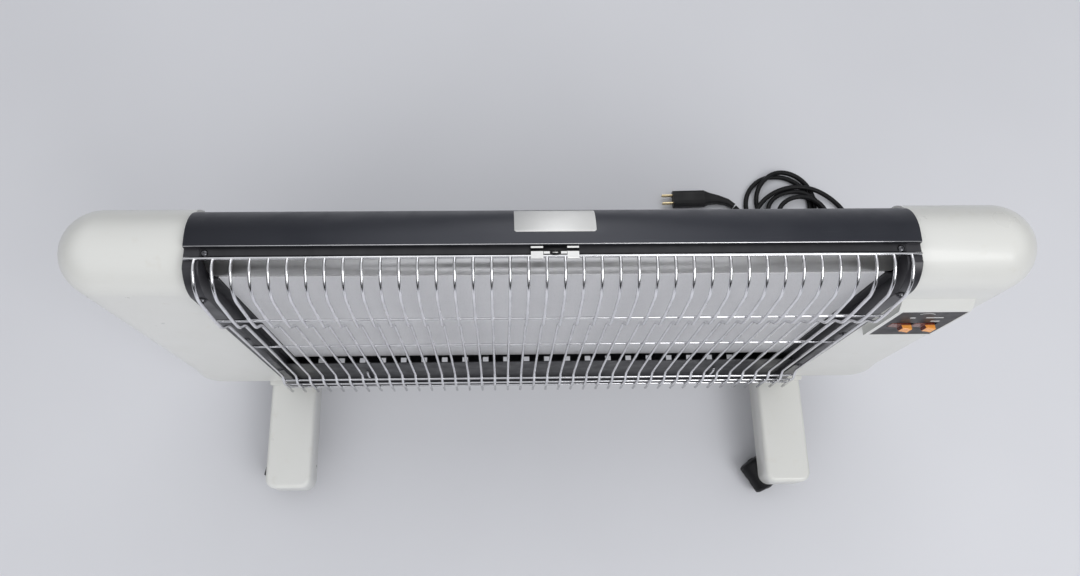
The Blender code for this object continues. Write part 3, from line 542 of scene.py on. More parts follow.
def rounded(path, radius, steps=5):
    """A (u, v) path with its inner corners replaced by arcs that reach at most radius along each side."""
    points = [Vector(path[0])]
    for before, here, after in zip(path, path[1:], path[2:]):
        before, here, after = Vector(before), Vector(here), Vector(after)
        reach = min(radius, (here - before).length * 0.45, (after - here).length * 0.45)
        start = here + (before - here).normalized() * reach
        end = here + (after - here).normalized() * reach
        for step in range(steps + 1):
            t = step / steps
            points.append(start * (1 - t) ** 2 + here * 2 * t * (1 - t) + end * t * t)
    points.append(Vector(path[-1]))
    return [tuple(point) for point in points]


def tube(path, radius, sides=10):
    """A round bar along 3-D points, with domed ends."""
    path = [Vector(point) for point in path]
    rings = []
    first = (path[1] - path[0]).normalized()
    side = first.orthogonal().normalized()
    for index, point in enumerate(path):
        ahead = path[min(index + 1, len(path) - 1)] - path[max(index - 1, 0)]
        along = ahead.normalized()
        side = (side - along * side.dot(along)).normalized()
        rings.append(circle(point, side * radius, along.cross(side) * radius, sides))
    for end, inward in ((0, 1), (-1, -1)):
        along = (path[1] - path[0]).normalized() if end == 0 else (path[-1] - path[-2]).normalized()
        centre = path[end]
        cap = [centre + (point - centre) * 0.7 - along * inward * radius * 0.45 for point in rings[end]]
        rings = [cap] + rings if end == 0 else rings + [cap]
    return loft(rings)


def thicken(obj, thickness, offset=-1.0):
    """Gives a sheet its thickness; an offset of 0 grows it both ways."""
    wall = obj.modifiers.new("wall", "SOLIDIFY")
    wall.thickness = thickness
    wall.offset = offset
    wall.use_even_offset = True
    return obj


def soften(obj, width, segments=3, angle=40):
    """Rounds the edges sharper than angle."""
    edges = obj.modifiers.new("edges", "BEVEL")
    edges.width = width
    edges.segments = segments
    edges.limit_method = "ANGLE"
    edges.angle_limit = radians(angle)
    edges.harden_normals = False
    return obj


def round_head(place, axis, radius, height, sides=24):
    """A low domed screw head with a cross recess drawn as a sunk ring of points."""
    axis = Vector(axis).normalized()
    side = axis.orthogonal().normalized()
    other = axis.cross(side)
    rings = []
    dome = ((1.0, -0.2), (1.0, 0.15), (0.94, 0.45), (0.78, 0.75), (0.5, 0.95))
    recess = ((0.30, 1.0), (0.22, 0.55))
    for share, lift in dome + recess:
        ring = []
        for step in range(sides):
            angle = 2 * pi * step / sides
            cross = 1.0 if (share, lift) in dome else 0.55 + 0.45 * abs(cos(2 * angle)) ** 3
            reach = radius * share * cross
            out = side * cos(angle) + other * sin(angle)
            ring.append(Vector(place) + out * reach + axis * height * lift)
        rings.append(ring)
    return loft(rings)


# ---------------------------------------------------------------- camera, light and stage


def set_stage():
    """The camera, a plain floor and three soft lights; the front fill stays out of reflections."""
    scene = bpy.context.scene
    camera = bpy.data.objects.new("camera", bpy.data.cameras.new("camera"))
    scene.collection.objects.link(camera)
    turn = Matrix.Rotation(CAMERA_YAW, 4, "Z") @ Matrix.Rotation(CAMERA_PITCH, 4, "X")
    turn = turn @ Matrix.Rotation(CAMERA_ROLL, 4, "Z")
    camera.matrix_world = Matrix.Translation(CAMERA_PLACE) @ turn
    camera.data.lens = CAMERA_LENS
    camera.data.sensor_width = 36.0
    camera.data.shift_x, camera.data.shift_y = CAMERA_SHIFT
    camera.data.clip_start = 0.01
    scene.camera = camera
    scene.view_settings.view_transform = "Standard"
    half = FLOOR_HALF
    floor_mesh = bpy.data.meshes.new("floor")
    corners = [(-half, -half, 0), (half, -half, 0), (half, half, 0), (-half, half, 0)]
    floor_mesh.from_pydata(corners, [], [(0, 1, 2, 3)])
    floor_mesh.materials.append(pale_floor())
    floor = bpy.data.objects.new("floor", floor_mesh)
    scene.collection.objects.link(floor)
    scene.world = studio()
    area_light("key", (0.95, -1.15, 2.0), (0.05, 0.05, 0.30), 1.2, 18)
    fill = area_light("fill", (-0.9, -2.2, 1.1), (0.0, 0.0, 0.25), 2.0, 17)
    fill.visible_glossy = False
    area_light("back", (0.2, 1.7, 1.9), (0.0, 0.1, 0.3), 1.8, 10)


def studio():
    """A plain surround, bright overhead and dim towards the horizon."""
    world = bpy.data.worlds.new("studio")
    world.use_nodes = True
    nodes = world.node_tree.nodes
    links = world.node_tree.links
    split = nodes.new("ShaderNodeSeparateXYZ")
    links.new(nodes.new("ShaderNodeTexCoord").outputs["Generated"], split.inputs["Vector"])
    rise = nodes.new("ShaderNodeMapRange")
    for socket, number in (("From Min", 0.28), ("From Max", 0.62), ("To Min", 0.03), ("To Max", 0.72)):
        rise.inputs[socket].default_value = number
    links.new(split.outputs["Z"], rise.inputs["Value"])
    nodes["Background"].inputs["Color"].default_value = (0.96, 0.975, 1.0, 1.0)
    links.new(rise.outputs["Result"], nodes["Background"].inputs["Strength"])
    return world


def area_light(name, place, target, size, power):
    lamp = bpy.data.lights.new(name, "AREA")
    lamp.size = size
    lamp.energy = power
    obj = bpy.data.objects.new(name, lamp)
    bpy.context.scene.collection.objects.link(obj)
    obj.location = place
    obj.rotation_euler = (Vector(target) - Vector(place)).to_track_quat("-Z", "Y").to_euler()
    return obj


# ---------------------------------------------------------------- the cord


def spline(route, spacing):
    """Evenly spaced points on a Catmull-Rom curve through the route."""
    dense = []
    ends = [route[0]] + list(route) + [route[-1]]
    for index in range(1, len(ends) - 2):
        p0, p1, p2, p3 = (np.array(ends[index + k]) for k in (-1, 0, 1, 2))
        for step in range(16):
            t = step / 16
            blend = 2 * p1 + (p2 - p0) * t + (2 * p0 - 5 * p1 + 4 * p2 - p3) * t * t
            dense.append(0.5 * (blend + (3 * p1 - p0 - 3 * p2 + p3) * t**3))
    dense.append(np.array(route[-1]))
    return even(np.array(dense), spacing)


def even(points, spacing):
    """The same line with points a set distance apart."""
    steps = np.linalg.norm(np.diff(points, axis=0), axis=1)
    walked = np.concatenate([[0], np.cumsum(steps)])
    count = max(2, int(round(walked[-1] / spacing)) + 1)
    wanted = np.linspace(0, walked[-1], count)
    return np.stack([np.interp(wanted, walked, points[:, axis]) for axis in range(3)], axis=1)


def coil_points():
    """The coil's turns, each easing into the next as it comes round the front."""
    points = []
    start = radians(COIL_START)
    per_turn = 28
    turns = len(COIL_TURNS)
    total = int(per_turn * (turns + COIL_EXTRA))
    for step in range(total + 1):
        angle = start - 2 * pi * step / per_turn
        # Whole numbers fall at the back of each turn
        place = step / per_turn - (COIL_START - 90) / 360
        index = min(max(int(place + 1) - 1, 0), turns - 1)
        share = min(max(place - index, 0.0), 1.0)
        share = share * share * (3 - 2 * share)
        (cx, cy), radius = COIL_TURNS[index]
        (nx, ny), after = COIL_TURNS[min(index + 1, turns - 1)]
        x = cx + (nx - cx) * share
        y = cy + (ny - cy) * share
        size = radius + (after - radius) * share
        height = CORD_FLOOR + COIL_RISE * step / per_turn
        points.append((x + size * cos(angle), y + size * sin(angle), height))
    return points


def settle(points, fixed, rounds=260):
    """Parts strands that overlap, lets the rest sink to the floor, and eases bends that are too sharp."""
    gap = 2 * CORD_RADIUS + 0.0002
    near = int(0.030 / CORD_SPACING)
    index = np.arange(len(points))
    apart = np.abs(index[:, None] - index[None, :]) > near
    free = ~fixed
    for turn in range(rounds):
        offset = points[:, None, :] - points[None, :, :]
        distance = np.linalg.norm(offset, axis=2)
        close = apart & (distance < gap)
        if close.any():
            lift = np.where(close, gap - distance, 0.0)
            above = np.sign(offset[:, :, 2] + 1e-6 * (index[:, None] - index[None, :]))
            push = (lift * above).max(axis=1) + (lift * above).min(axis=1)
            points[free, 2] += 0.5 * push[free]
            flat = offset[:, :, :2] / np.maximum(distance, 1e-6)[:, :, None]
            slide = (lift[:, :, None] * flat).sum(axis=1) / np.maximum(close.sum(axis=1), 1)[:, None]
            points[free, :2] += 0.03 * slide[free]
        middle = 0.5 * (points[:-2] + points[2:])
        inner = points[1:-1]
        stiff = 0.60 if turn < rounds - 10 else 0.30
        moved = inner + stiff * (middle - inner) * np.array([0.05, 0.05, 1.0])
        sharp = np.linalg.norm(middle - inner, axis=1) > SHARPEST_STEP
        sharp[:2] = sharp[-2:] = False
        moved[sharp] = (inner + np.array([0.1, 0.1, 0.7]) * (middle - inner))[sharp]
        loose = free[1:-1] | sharp
        points[1:-1][loose] = moved[loose]
        if turn < rounds - 60:
            points[free, 2] -= 0.00006
        points[free, 2] = np.maximum(points[free, 2], CORD_FLOOR)
    return points


def make_cord():
    """One line from the gland through the coil to the plug."""
    way_in = spline(CORD_ROUTE, CORD_SPACING)
    way_out = spline(LEAD_ROUTE, CORD_SPACING)
    route = list(map(tuple, CORD_ROUTE[:-1])) + coil_points() + list(LEAD_ROUTE[1:])
    points = spline(route, CORD_SPACING)
    held_start = len(way_in) - 6
    held_end = len(way_out) - 8
    fixed = np.zeros(len(points), bool)
    fixed[:held_start] = True
    fixed[-held_end:] = True
    points = settle(points, fixed)
    points = even(points, CORD_POINT_SPACING)
    curve = bpy.data.curves.new("mains_cord", "CURVE")
    curve.dimensions = "3D"
    curve.bevel_depth = CORD_RADIUS
    curve.bevel_resolution = 4
    curve.use_fill_caps = True
    line = curve.splines.new("POLY")
    line.points.add(len(points) - 1)
    line.use_smooth = True
    for spot, point in zip(line.points, points):
        spot.co = (*point, 1.0)
    curve.materials.append(CORD)
    cord = bpy.data.objects.new("mains_cord", curve)
    bpy.context.scene.collection.objects.link(cord)
    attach(cord, "heater")
    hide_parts("power_cord", "cord_lead", "cord_coil")


# ---------------------------------------------------------------- white side covers


def cover_stations():
    """The cover's front view as (x, z, inward normal, edge radius), bottom to top."""
    fine = 18
    stations = [(COVER_IN, COVER_BOTTOM, (0, 1), COVER_LOW_EDGE)]
    corner = (COVER_OUT - COVER_LOW_CORNER, COVER_BOTTOM + COVER_LOW_CORNER)
    for step in range(fine + 1):
        share = step / fine
        angle = radians(-90 + 90 * share)
        edge = COVER_LOW_EDGE + (COVER_FULL_EDGE - COVER_LOW_EDGE) * share * share * (3 - 2 * share)
        inward = (-cos(angle), -sin(angle))
        x = corner[0] - COVER_LOW_CORNER * inward[0]
        z = corner[1] - COVER_LOW_CORNER * inward[1]
        stations.append((x, z, inward, edge))
    corner = (COVER_OUT - COVER_TOP_CORNER, COVER_TOP - COVER_TOP_CORNER)
    for x, z in arc(corner, COVER_TOP_CORNER, 0, 90, fine):
        inward = ((corner[0] - x) / COVER_TOP_CORNER, (corner[1] - z) / COVER_TOP_CORNER)
        stations.append((x, z, inward, COVER_FULL_EDGE))
    stations.append((COVER_IN, COVER_TOP, (0, -1), COVER_FULL_EDGE))
    return stations


def side_cover(name, side):
    """A smooth white shell with a rolled lip at its mouth."""
    fine = 18
    rings = []
    for x, z, inward, edge in cover_stations():
        back = [(COVER_RIM, COVER_HALF)]
        for step in range(fine + 1):
            angle = radians(90 - 90 * step / fine)
            back.append((edge - edge * cos(angle), COVER_HALF - edge + edge * sin(angle)))
        across = [(inset, -y) for inset, y in back] + back[::-1]
        ring = []
        for inset, y in across:
            ring.append((side * (x + inward[0] * inset), COVER_Y + y, z + inward[1] * inset))
        rings.append(ring)
    points, faces = loft(rings, closed_ring=False, caps=False)
    size = len(rings[0])
    last = (len(rings) - 1) * size
    faces.append(tuple(row * size for row in range(len(rings))))
    faces.append(tuple(row * size + size - 1 for row in range(len(rings))))
    mouth = list(range(size)) + list(range(last + size - 1, last - 1, -1))
    middle = (COVER_BOTTOM + COVER_TOP) / 2
    start = len(points)
    levels = ((0.0006, 0.0002), (COVER_LIP, 0.0002))
    for lip, turn_in in levels:
        for index in mouth:
            x, y, z = points[index]
            shrink_y = 1 - lip / COVER_HALF
            shrink_z = 1 - lip / (COVER_TOP - middle)
            across = COVER_Y + (y - COVER_Y) * shrink_y
            points.append((x - side * turn_in, across, middle + (z - middle) * shrink_z))
    count = len(mouth)
    rows = [mouth, list(range(start, start + count)), list(range(start + count, start + 2 * count))]
    for here, after in zip(rows, rows[1:]):
        for step in range(count):
            nxt = (step + 1) % count
            faces.append((here[step], here[nxt], after[nxt], after[step]))
    shell = piece(name + "_shell", points, faces, WHITE, replaced=[name], slot="white_plastic", smooth=40)
    return thicken(shell, COVER_WALL - 0.0002)


# ---------------------------------------------------------------- centre unit


def section(inset=0.0, under_cover=0.0, bottom=COVER_BOTTOM, fine=20):
    """The centre unit's closed section as (y, z), with the groove for the guard's top rod."""
    radius = UNIT_RADIUS - inset
    centre_z = UNIT_TOP - UNIT_RADIUS
    front_y = UNIT_FRONT + UNIT_RADIUS
    back_y = UNIT_BACK - UNIT_RADIUS
    groove = GROOVE_Z - inset
    meets = 180 - degrees(asin((groove - centre_z) / radius))
    points = [(UNIT_FRONT + inset, bottom + inset)]
    points += arc((front_y, centre_z), radius, 180, meets, fine)
    points.append((GROOVE_BACK_Y - inset, groove))
    tucked = radius - under_cover
    points.append((GROOVE_BACK_Y - inset, centre_z + tucked))
    points += arc((back_y, centre_z), tucked, 90, 0, fine)
    points.append((back_y + tucked, bottom + inset))
    return points


def cheek(name, side):
    """A pressed end plate with a rolled front edge and its fixing screws."""
    tuck = SHEET + GAP
    outer = section(0.0, tuck)
    eased = section(0.0004, tuck)
    inner = section(CHEEK_WALL, tuck)
    levels = (
        (eased, CHEEK_IN),
        (outer, CHEEK_IN + 0.0006),
        (outer, UNIT_HALF_WIDTH - 0.0005),
        (eased, UNIT_HALF_WIDTH),
        (inner, UNIT_HALF_WIDTH),
        (inner, CHEEK_IN + CHEEK_WALL),
    )
    rings = [[(side * x, y, z) for y, z in outline] for outline, x in levels]
    piece(name + "_plate", *loft(rings), GREY, replaced=[name], slot="grey_paint", smooth=28)
    heads = []
    rims = []
    for height, stand in CHEEK_SCREWS:
        place = (side * CHEEK_SCREW_X, UNIT_FRONT, height)
        heads.append(round_head(place, (0, -1, 0), CHEEK_SCREW_RADIUS, stand))
        rims.append(collar(place, CHEEK_SCREW_RADIUS + 0.0001, CHEEK_SCREW_RADIUS + 0.0012, 0.0004))
    piece(name + "_screws", *merged(heads), DARK_SCREW, smooth=40, slot="chrome")
    piece(name + "_washers", *merged(rims), BLACK, smooth=40, slot="black_plastic")


def collar(place, inner, outer, height, sides=24):
    """A flat ring facing -Y."""
    rings = []
    for radius, lift in ((inner, -0.0002), (inner, height), (outer, height * 0.6), (outer, -0.0002)):
        centre = Vector((place[0], place[1] - lift, place[2]))
        rings.append(circle(centre, Vector((radius, 0, 0)), Vector((0, 0, radius)), sides))
    points, faces = loft(rings, caps=False)
    for step in range(sides):
        nxt = (step + 1) % sides
        faces.append((3 * sides + step, 3 * sides + nxt, nxt, step))
    return points, faces


def top_cover():
    """The charcoal cover with a hemmed front lip."""
    centre_z = UNIT_TOP - UNIT_RADIUS
    back_y = UNIT_BACK - UNIT_RADIUS
    half = SHEET / 2
    path = [(TOP_LIP_Y + 0.0006, UNIT_TOP - 0.0016), (TOP_LIP_Y, UNIT_TOP - 0.0008)]
    path += [(TOP_LIP_Y + 0.0010, UNIT_TOP - half)]
    path += arc((back_y, centre_z), UNIT_RADIUS - half, 90, 0, 30)
    path.append((UNIT_BACK - half, TOP_COVER_LOW))
    half_width = UNIT_HALF_WIDTH - 0.0002
    points, faces = sheet(rounded(path, 0.0006, 3), -half_width, half_width)
    words = {"replaced": ["top_cover"], "slot": "charcoal_paint"}
    thicken(piece("top_cover_sheet", points, faces, CHARCOAL, **words), SHEET, 0.0)


def painted_highlight_hem():
    """The thin bright edge of the cover's front lip: a chrome tube that paints a highlight line on the
    charcoal sheet.
    """
    reach = UNIT_HALF_WIDTH - 0.0006
    path = [(reach * (step / 6 - 1), TOP_LIP_Y + 0.0002, UNIT_TOP - 0.0001) for step in range(13)]
    # Painted highlight: chrome stands in for the light caught by the charcoal lip's edge
    piece("painted_highlight_hem", *tube(path, HEM_RADIUS, 8), CHROME, smooth=60, slot="chrome")


def label():
    """The blank sticker, laid on the cover's curve with round corners."""
    centre_z = UNIT_TOP - UNIT_RADIUS
    back_y = UNIT_BACK - UNIT_RADIUS
    start, end = LABEL_ARC
    length = radians(start - end) * UNIT_RADIUS
    radius = UNIT_RADIUS + LABEL_LIFT
    steps = 24
    rings = []
    for step in range(steps + 1):
        share = step / steps
        half = corner_width(LABEL_HALF_WIDTH, LABEL_CORNER, length * min(share, 1 - share))
        angle = radians(start + (end - start) * share)
        y = back_y + radius * cos(angle)
        z = centre_z + radius * sin(angle)
        rings.append([(-half, y, z), (half, y, z)])
    points, faces = loft(rings, closed_ring=False, caps=False)
    obj = piece("blank_label", points, faces, STICKER, replaced=["label_blank"], slot="label_white")
    thicken(obj, LABEL_SHEET, 0.0)


def corner_width(half_width, corner, from_edge):
    """A sheet's half width at a distance from an edge with round corners."""
    into = max(0.0, corner - from_edge)
    return half_width - corner + sqrt(max(0.0, corner * corner - into * into))


def reflector():
    """The bright strip above the panel: a shallow trough with round lower corners."""
    length = (REFLECTOR_LOW - REFLECTOR_TOP).length
    shares = [step / 20 for step in range(15)]
    shares += [0.72, 0.76, 0.80, 0.84, 0.88, 0.91, 0.94, 0.96, 0.98, 0.99, 1.0]
    rings = []
    for share in shares:
        spot = REFLECTOR_TOP.lerp(REFLECTOR_LOW, share) + REFLECTOR_SAG * 4 * share * (1 - share)
        half = corner_width(CHEEK_IN - GAP, REFLECTOR_CORNER, (1 - share) * length)
        rings.append([(-half, spot.x, spot.y), (half, spot.x, spot.y)])
    points, faces = loft(rings, closed_ring=False, caps=False)
    words = {"replaced": ["reflector_strip"], "slot": "bright_metal"}
    thicken(piece("reflector_sheet", points, faces, BRIGHT, **words), REFLECTOR_SHEET, 0.0)


def panel():
    """The radiant panel, a pressed pan with soft edges."""
    low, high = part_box("heater_panel")
    x0, y0, z0 = low
    x1, y1, z1 = high
    wall = PANEL_SHEET

    def ring(inset, y):
        return [
            (x0 + inset, y, z0 + inset),
            (x1 - inset, y, z0 + inset),
            (x1 - inset, y, z1 - inset),
            (x0 + inset, y, z1 - inset),
        ]

    rings = [ring(0, y0), ring(0, y1), ring(wall, y1), ring(wall, y0 + wall)]
    words = {"replaced": ["heater_panel"], "slot": "panel_coat"}
    soften(piece("panel_pan", *loft(rings), PANEL, **words), 0.0009)


# ---------------------------------------------------------------- guard


def guard():
    """Forty bent wires welded over horizontal rods."""
    bend = rounded(GUARD_PATH, BEND_REACH, 6)
    parts = []
    for number in range(WIRE_COUNT):
        x = (number - (WIRE_COUNT - 1) / 2) * WIRE_PITCH
        parts.append(tube([(x, y, z) for y, z in bend], WIRE_RADIUS, 10))
    piece("guard_wires", *merged(parts), CHROME, replaced=["wire_guard"], smooth=60, slot="chrome")
    parts = []
    inward = WIRE_RADIUS + ROD_RADIUS - WELD_DEPTH
    for z in GUARD_RODS:
        y = on_path(z)
        parts.append(rod(-ROD_END, ROD_END, y + inward, z))
    top_y, top_z = GUARD_PATH[0]
    parts.append(rod(-TOP_ROD_END, TOP_ROD_END, top_y + 0.0002, top_z + 0.0002))
    piece("guard_rods", *merged(parts), CHROME, smooth=60, slot="chrome")


def on_path(z):
    """The guard's y at a height below its top bends."""
    for (y0, z0), (y1, z1) in zip(GUARD_PATH[3:], GUARD_PATH[4:]):
        if z1 <= z <= z0:
            return y0 + (y1 - y0) * (z - z0) / (z1 - z0)
    return GUARD_PATH[-1][0]


def rod(x0, x1, y, z):
    steps = 12
    return tube([(x0 + (x1 - x0) * step / steps, y, z) for step in range(steps + 1)], ROD_RADIUS, 12)


def guard_clip():
    """The spring clip over the top rod: bright tabs on a dark band, and a dark oval head between with a
    bright bar across it as its painted highlight.
    """
    tab = [(0.0232, 0.0), (0.0172, 0.0), (0.0161, -0.0010), (0.0159, -0.0026)]
    parts = []
    for x0, x1 in CLIP_TABS:
        parts.append(sheet(rounded([(y, CLIP_TOP + drop) for y, drop in tab], 0.0010, 3), x0, x1))
        parts.append(sheet([(0.0281, CLIP_TOP - 0.0006), (0.0264, CLIP_TOP - 0.0006)], x0, x1))
    for x0, x1 in CLIP_BLOCKS:
        parts.append(sheet([(0.0232, CLIP_TOP - 0.0004), (0.0210, CLIP_TOP - 0.0004)], x0, x1))
    words = {"replaced": ["guard_clip"], "slot": "bright_metal", "smooth": 0}
    thicken(piece("clip_tabs", *merged(parts), BRIGHT, **words), CLIP_SHEET, 0.0)
    band = [(0.0284, CLIP_TOP - 0.0014), (0.0205, CLIP_TOP - 0.0014)]
    points, faces = sheet(band, CLIP_TABS[0][0], CLIP_TABS[1][1])
    thicken(piece("clip_band", points, faces, BLACK, slot="black_plastic"), CLIP_BAND_SHEET, 0.0)
    x, y = -0.0008, 0.0220
    side, other = Vector((0.0042, 0, 0)), Vector((0, 0.0018, 0))
    rings = []
    for share, height in ((1.0, -0.0012), (1.0, -0.0002), (0.9, 0.0002), (0.5, 0.0003)):
        rings.append(circle(Vector((x, y, CLIP_TOP + height)), side * share, other * share, 28))
    piece("clip_head", *loft(rings), BLACK, slot="black_plastic", smooth=40)
    # Painted highlight: a bright bar laid across the dark head
    highlight_line = [(x + reach, y, CLIP_TOP + 0.0003) for reach in (-0.0022, 0.0022)]
    piece("clip_head_highlight", *tube(highlight_line, 0.0004, 8), BRIGHT, slot="bright_metal", smooth=40)


def screws():
    for name in ("cover_screw_left", "cover_screw_right"):
        low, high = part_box(name)
        centre = (low + high) / 2
        place = (centre[0], centre[1], low[2])
        points, faces = round_head(place, (0, 0, 1), *COVER_SCREW_HEAD)
        piece(name + "_head", points, faces, DARK_SCREW, replaced=[name], smooth=40, slot="chrome")


# ---------------------------------------------------------------- feet


def plan(centre_x, half_width, front, back, corner, inset, fine=10):
    radius = corner - inset
    places = (
        (centre_x + half_width - corner, front + corner, -90),
        (centre_x + half_width - corner, back - corner, 0),
        (centre_x - half_width + corner, back - corner, 90),
        (centre_x - half_width + corner, front + corner, 180),
    )
    points = []
    for x, y, start in places:
        points += arc((x, y), radius, start, start + 90, fine)
    return points


def foot(name):
    """A smooth hollow foot; the CAD bosses inside it are redrawn as tubes round the stems."""
    low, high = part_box(name)
    centre_x = (low[0] + high[0]) / 2
    half_width = (high[0] - low[0]) / 2
    edge = FOOT_EDGE
    levels = [(0.0004, low[2]), (0.0, low[2] + 0.0006), (0.0, high[2] - edge)]
    for step in range(1, 9):
        angle = radians(90 * step / 8)
        levels.append((edge * (1 - cos(angle)), high[2] - edge + edge * sin(angle)))
    rings = []
    for inset, z in levels:
        outline = plan(centre_x, half_width, low[1], high[1], FOOT_CORNER, inset)
        rings.append([(x, y, z) for x, y in outline])
    points, faces = loft(rings, caps=False)
    size = len(rings[0])
    faces.append(tuple(range(len(points) - size, len(points))))
    obj = piece(name + "_shell", points, faces, WHITE, replaced=[name], slot="white_plastic", smooth=35)
    thicken(obj, FOOT_WALL)
    bosses = []
    for y in (low[1] + STEM_SETBACK, high[1] - STEM_SETBACK):
        bosses.append(boss((centre_x, y), 0.0044, 0.0080, low[2] + 0.0005, high[2] - FOOT_WALL - 0.0001))
    piece(name + "_bosses", *merged(bosses), WHITE, slot="white_plastic", smooth=40)


def boss(centre, inner, outer, low, high, sides=32):
    """A thick tube standing up inside a foot."""
    rings = []
    for radius, z in ((inner, high), (inner, low), (outer, low), (outer, high)):
        rings.append(circle(Vector((*centre, z)), Vector((radius, 0, 0)), Vector((0, radius, 0)), sides))
    return loft(rings + [rings[0]], caps=False)


def bracket(name):
    low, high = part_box(name)
    centre_x = (low[0] + high[0]) / 2
    half_width = (high[0] - low[0]) / 2
    rings = []
    for inset, z in ((0.0004, low[2]), (0.0, low[2] + 0.0004), (0.0, high[2] - 0.0006), (0.0006, high[2])):
        rings.append([(x, y, z) for x, y in plan(centre_x, half_width, low[1], high[1], 0.0030, inset, 5)])
    piece(name + "_plate", *loft(rings), WHITE, replaced=[name], slot="white_paint", smooth=40)


# ---------------------------------------------------------------- casters


def joint_of(body):
    """The joint whose child this body is."""
    return next(joint for joint in frame["record"]["behaviour"]["joints"] if joint["child"] == body)


def wheel(name):
    """A moulded wheel: crowned tread with a groove, domed outer face with a raised rim and hub."""
    corner = name.replace("wheel_", "")
    joint = joint_of("roller_" + corner)
    centre = Vector(joint["pos_m"])
    axis = Vector(joint["axis"]).normalized()
    if corner.endswith("_b"):
        axis = -axis
    up = Vector((0, 0, 1))
    along = axis.cross(up).normalized()
    profile = [(0.0222, 0.0), (0.0222, 0.0030), (0.0219, 0.0042), (0.0214, 0.0046), (0.0210, 0.0090)]
    profile += [(0.0204, 0.0128), (0.0199, 0.0150), (0.0200, 0.0156), (0.0194, 0.0168), (0.0185, 0.0182)]
    profile += [(0.0176, 0.0188), (0.0160, 0.01895), (0.0112, 0.0190), (0.0108, 0.0186), (0.0094, 0.0186)]
    profile += [(0.0090, 0.0190), (0.0040, 0.01895), (0.0028, 0.0186), (0.0022, 0.0178), (0.0022, 0.0060)]
    profile += [(0.0018, 0.0058), (0.0018, 0.0029), (0.0150, 0.0029), (0.0150, 0.0)]
    rings = []
    for across, radius in profile:
        radius = max(radius, 0.0001)
        rings.append(circle(centre + axis * across, along * radius, up * radius, 56))
    piece(name + "_moulded", *loft(rings), TREAD, "roller_" + corner, 32, [name], "black_plastic")


def hood(name):
    """The caster's hood: a smooth curved cap over both wheels, a fin between them, and the stem."""
    swivel = joint_of("swivel_" + name)
    axle = joint_of("roller_" + name + "_a")
    stem = Vector(swivel["pos_m"])
    centre = Vector(axle["pos_m"])
    heading = Vector((centre.x - stem.x, centre.y - stem.y, 0)).normalized()
    across = Vector((-heading.y, heading.x, 0))
    trail = Vector((centre.x - stem.x, centre.y - stem.y)).length

    def spot(forward, sideways, height):
        place = Vector((stem.x, stem.y, 0)) + heading * forward + across * sideways
        return (place.x, place.y, height)

    rings = []
    for step in range(29):
        angle = radians(14 + 128 * step / 28)
        end = min(step, 28 - step)
        half = 0.0174 - 0.0016 * max(0, 3 - end) / 3
        ring = []
        corners = ((0.0196, -half), (0.0196, half), (0.0206, half), (0.0212, half - 0.0007))
        for radius, side in corners + ((0.0212, -half + 0.0007), (0.0206, -half)):
            ring.append(spot(trail + radius * cos(angle), side, centre.z + radius * sin(angle)))
        rings.append(ring)
    parts = [loft(rings)]
    outline = arc((trail, centre.z), 0.0203, 15, 140, 24) + [(-0.0040, 0.0330), (-0.0040, 0.0240)]
    outline += [(trail - 0.0036, 0.0135), (trail + 0.0040, 0.0130)]
    parts.append(loft([[spot(x, side, z) for x, z in outline] for side in (-FIN_HALF, FIN_HALF)]))
    for low, high, radius in ((0.0290, 0.0412, 0.0062), (0.0350, 0.0700, 0.0040)):
        turned = []
        eased = ((low, -0.0005), (low + 0.0006, 0.0), (high - 0.0006, 0.0), (high, -0.0006))
        for height, change in eased:
            size = radius + change
            turned.append(circle(Vector((stem.x, stem.y, height)), heading * size, across * size, 28))
        parts.append(loft(turned))
    piece("hood_" + name, *merged(parts), BLACK, "swivel_" + name, 35, ["caster_" + name], "black_plastic")


# ---------------------------------------------------------------- switches


def switch_box():
    """The white surround with soft edges, cut for the plate."""
    box = bpy.data.objects["switch_box"]
    copy = bpy.data.objects.new("switch_surround", box.data.copy())
    copy.data.materials.clear()
    copy.data.materials.append(WHITE)
    # The rear faces reach the side cover, which hides the CAD's clearance
    rear = max(point.co.y for point in copy.data.vertices)
    for point in copy.data.vertices:
        if point.co.y > rear - 0.0001:
            point.co.y += 0.0006
    bpy.context.scene.collection.objects.link(copy)
    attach(copy, "heater")
    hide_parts("switch_box")
    soften(copy, 0.0007, 3, 25)


def rocker(name, body):
    """A glossy stepped key; at rest its thick right half stands out of the plate."""
    joint = joint_of(body)
    centre = Vector(joint["pos_m"])
    half = KEY_HALF_WIDTH
    flush = BOX_FRONT - centre.y
    face = flush - KEY_STEP
    outline = [(-half, flush - half * sin(KEY_THROW)), (-0.0010, flush - 0.0012), (0.0006, face)]
    outline += [(half * 0.5, face + 0.0003), (half - 0.0010, face), (half, face + 0.0010)]
    outline += [(half * 0.75, KEY_BACK), (-half * 0.75, KEY_BACK)]
    turn = Matrix.Rotation(-KEY_THROW, 3, "Z")
    rings = []
    for height in (-KEY_HALF_HEIGHT, KEY_HALF_HEIGHT):
        rings.append([centre + turn @ Vector((x, y, height)) for x, y in outline])
    soften(piece(name + "_key", *loft(rings), ORANGE, body, 20, [name], "orange_plastic"), 0.0006, 3, 50)


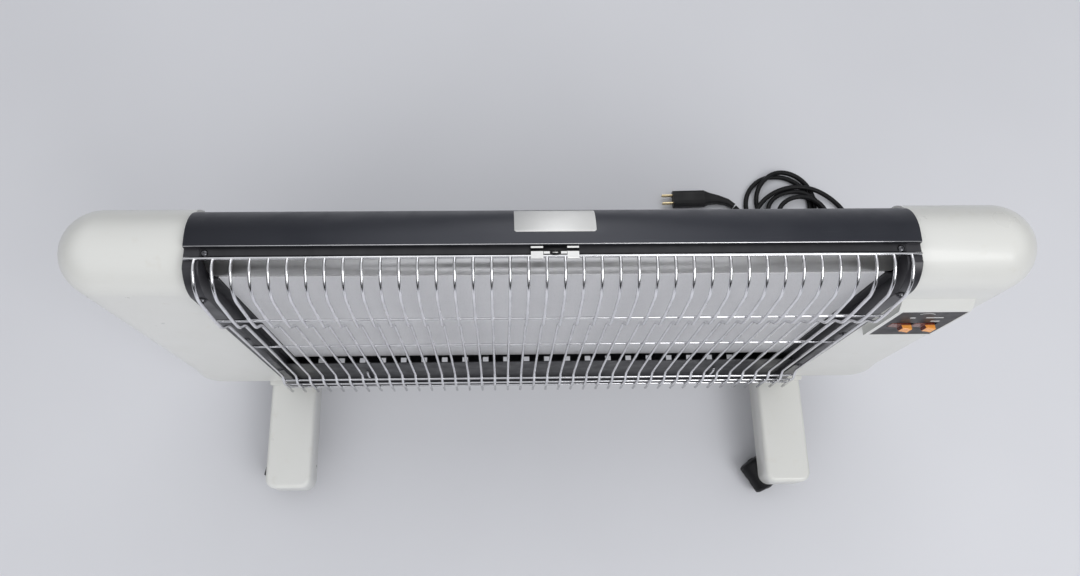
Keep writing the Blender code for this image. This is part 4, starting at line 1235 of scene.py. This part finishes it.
def switch_marks():
    """Plain raised bars and a short arc on the plate; they spell nothing."""
    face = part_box("switch_plate")[0].y
    parts = []

    def mark(outline):
        rings = [[(x, y, z) for x, z in outline] for y in (face + 0.0001, face - PRINT_LIFT)]
        parts.append(loft(rings))

    for x0, x1, z in ((0.3552, 0.3603, 0.3818), (0.3711, 0.3883, 0.3820), (0.3810, 0.3900, 0.3700)):
        top = z + PRINT_HEIGHT
        mark([(x0, z), (x1, z), (x1, top), (x0, top)])
    mark(arc((0.3670, 0.3860), 0.0120, 50, 130, 10) + arc((0.3670, 0.3860), 0.0110, 130, 50, 10))
    piece("plate_marks", *merged(parts), STICKER, smooth=0, slot="label_white")


def rail_hooks():
    """The two small wire hooks that hold the guard's foot to the lower rail."""
    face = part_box("lower_front_rail")[0].y
    parts = []
    root, out = face - 0.0012, face - HOOK_STAND
    path = rounded([(root, 0.1380), (out, 0.1340), (out, 0.1000), (root, 0.0960)], 0.0030, 4)
    for x in HOOK_PLACES:
        parts.append(tube([(x, y, z) for y, z in path], HOOK_RADIUS, 10))
    piece("rail_hooks", *merged(parts), CHROME, smooth=60, slot="chrome")


# ---------------------------------------------------------------- run


def finish_cad_nodes():
    """Materials for the CAD nodes that show as they are."""
    for material, nodes in (
        (CHARCOAL, "rear_cover"),
        (GREY, "bottom_plate"),
        (RAIL, "lower_front_rail top_rail panel_strip_left panel_strip_right"),
        (BRIGHT, "rear_reflector"),
        (BOARD, "insulation_board"),
        (SHEATH, "heater_element_lower heater_element_upper"),
        (PLATE, "switch_plate"),
        (BLACK, "switch_housing_left switch_housing_right tip_over_switch cord_gland plug_body"),
        (CERAMIC, "thermostat thermal_fuse terminal_block"),
        (BRASS, "plug_blade_a plug_blade_b"),
        (CHROME, "axle_front_left axle_front_right axle_rear_left axle_rear_right"),
    ):
        for node in nodes.split():
            dress(node, material)


def main():
    set_stage()
    make_cord()
    finish_cad_nodes()
    side_cover("side_cover_left", -1)
    side_cover("side_cover_right", 1)
    cheek("cheek_left", -1)
    cheek("cheek_right", 1)
    top_cover()
    painted_highlight_hem()
    label()
    reflector()
    panel()
    guard()
    guard_clip()
    screws()
    for side in ("left", "right"):
        foot("foot_" + side)
        bracket("foot_bracket_" + side)
    for corner in ("front_left", "front_right", "rear_left", "rear_right"):
        hood(corner)
        for letter in ("a", "b"):
            wheel("wheel_" + corner + "_" + letter)
    switch_box()
    rocker("switch_rocker_left", "rocker_left")
    rocker("switch_rocker_right", "rocker_right")
    switch_marks()
    rail_hooks()


main()
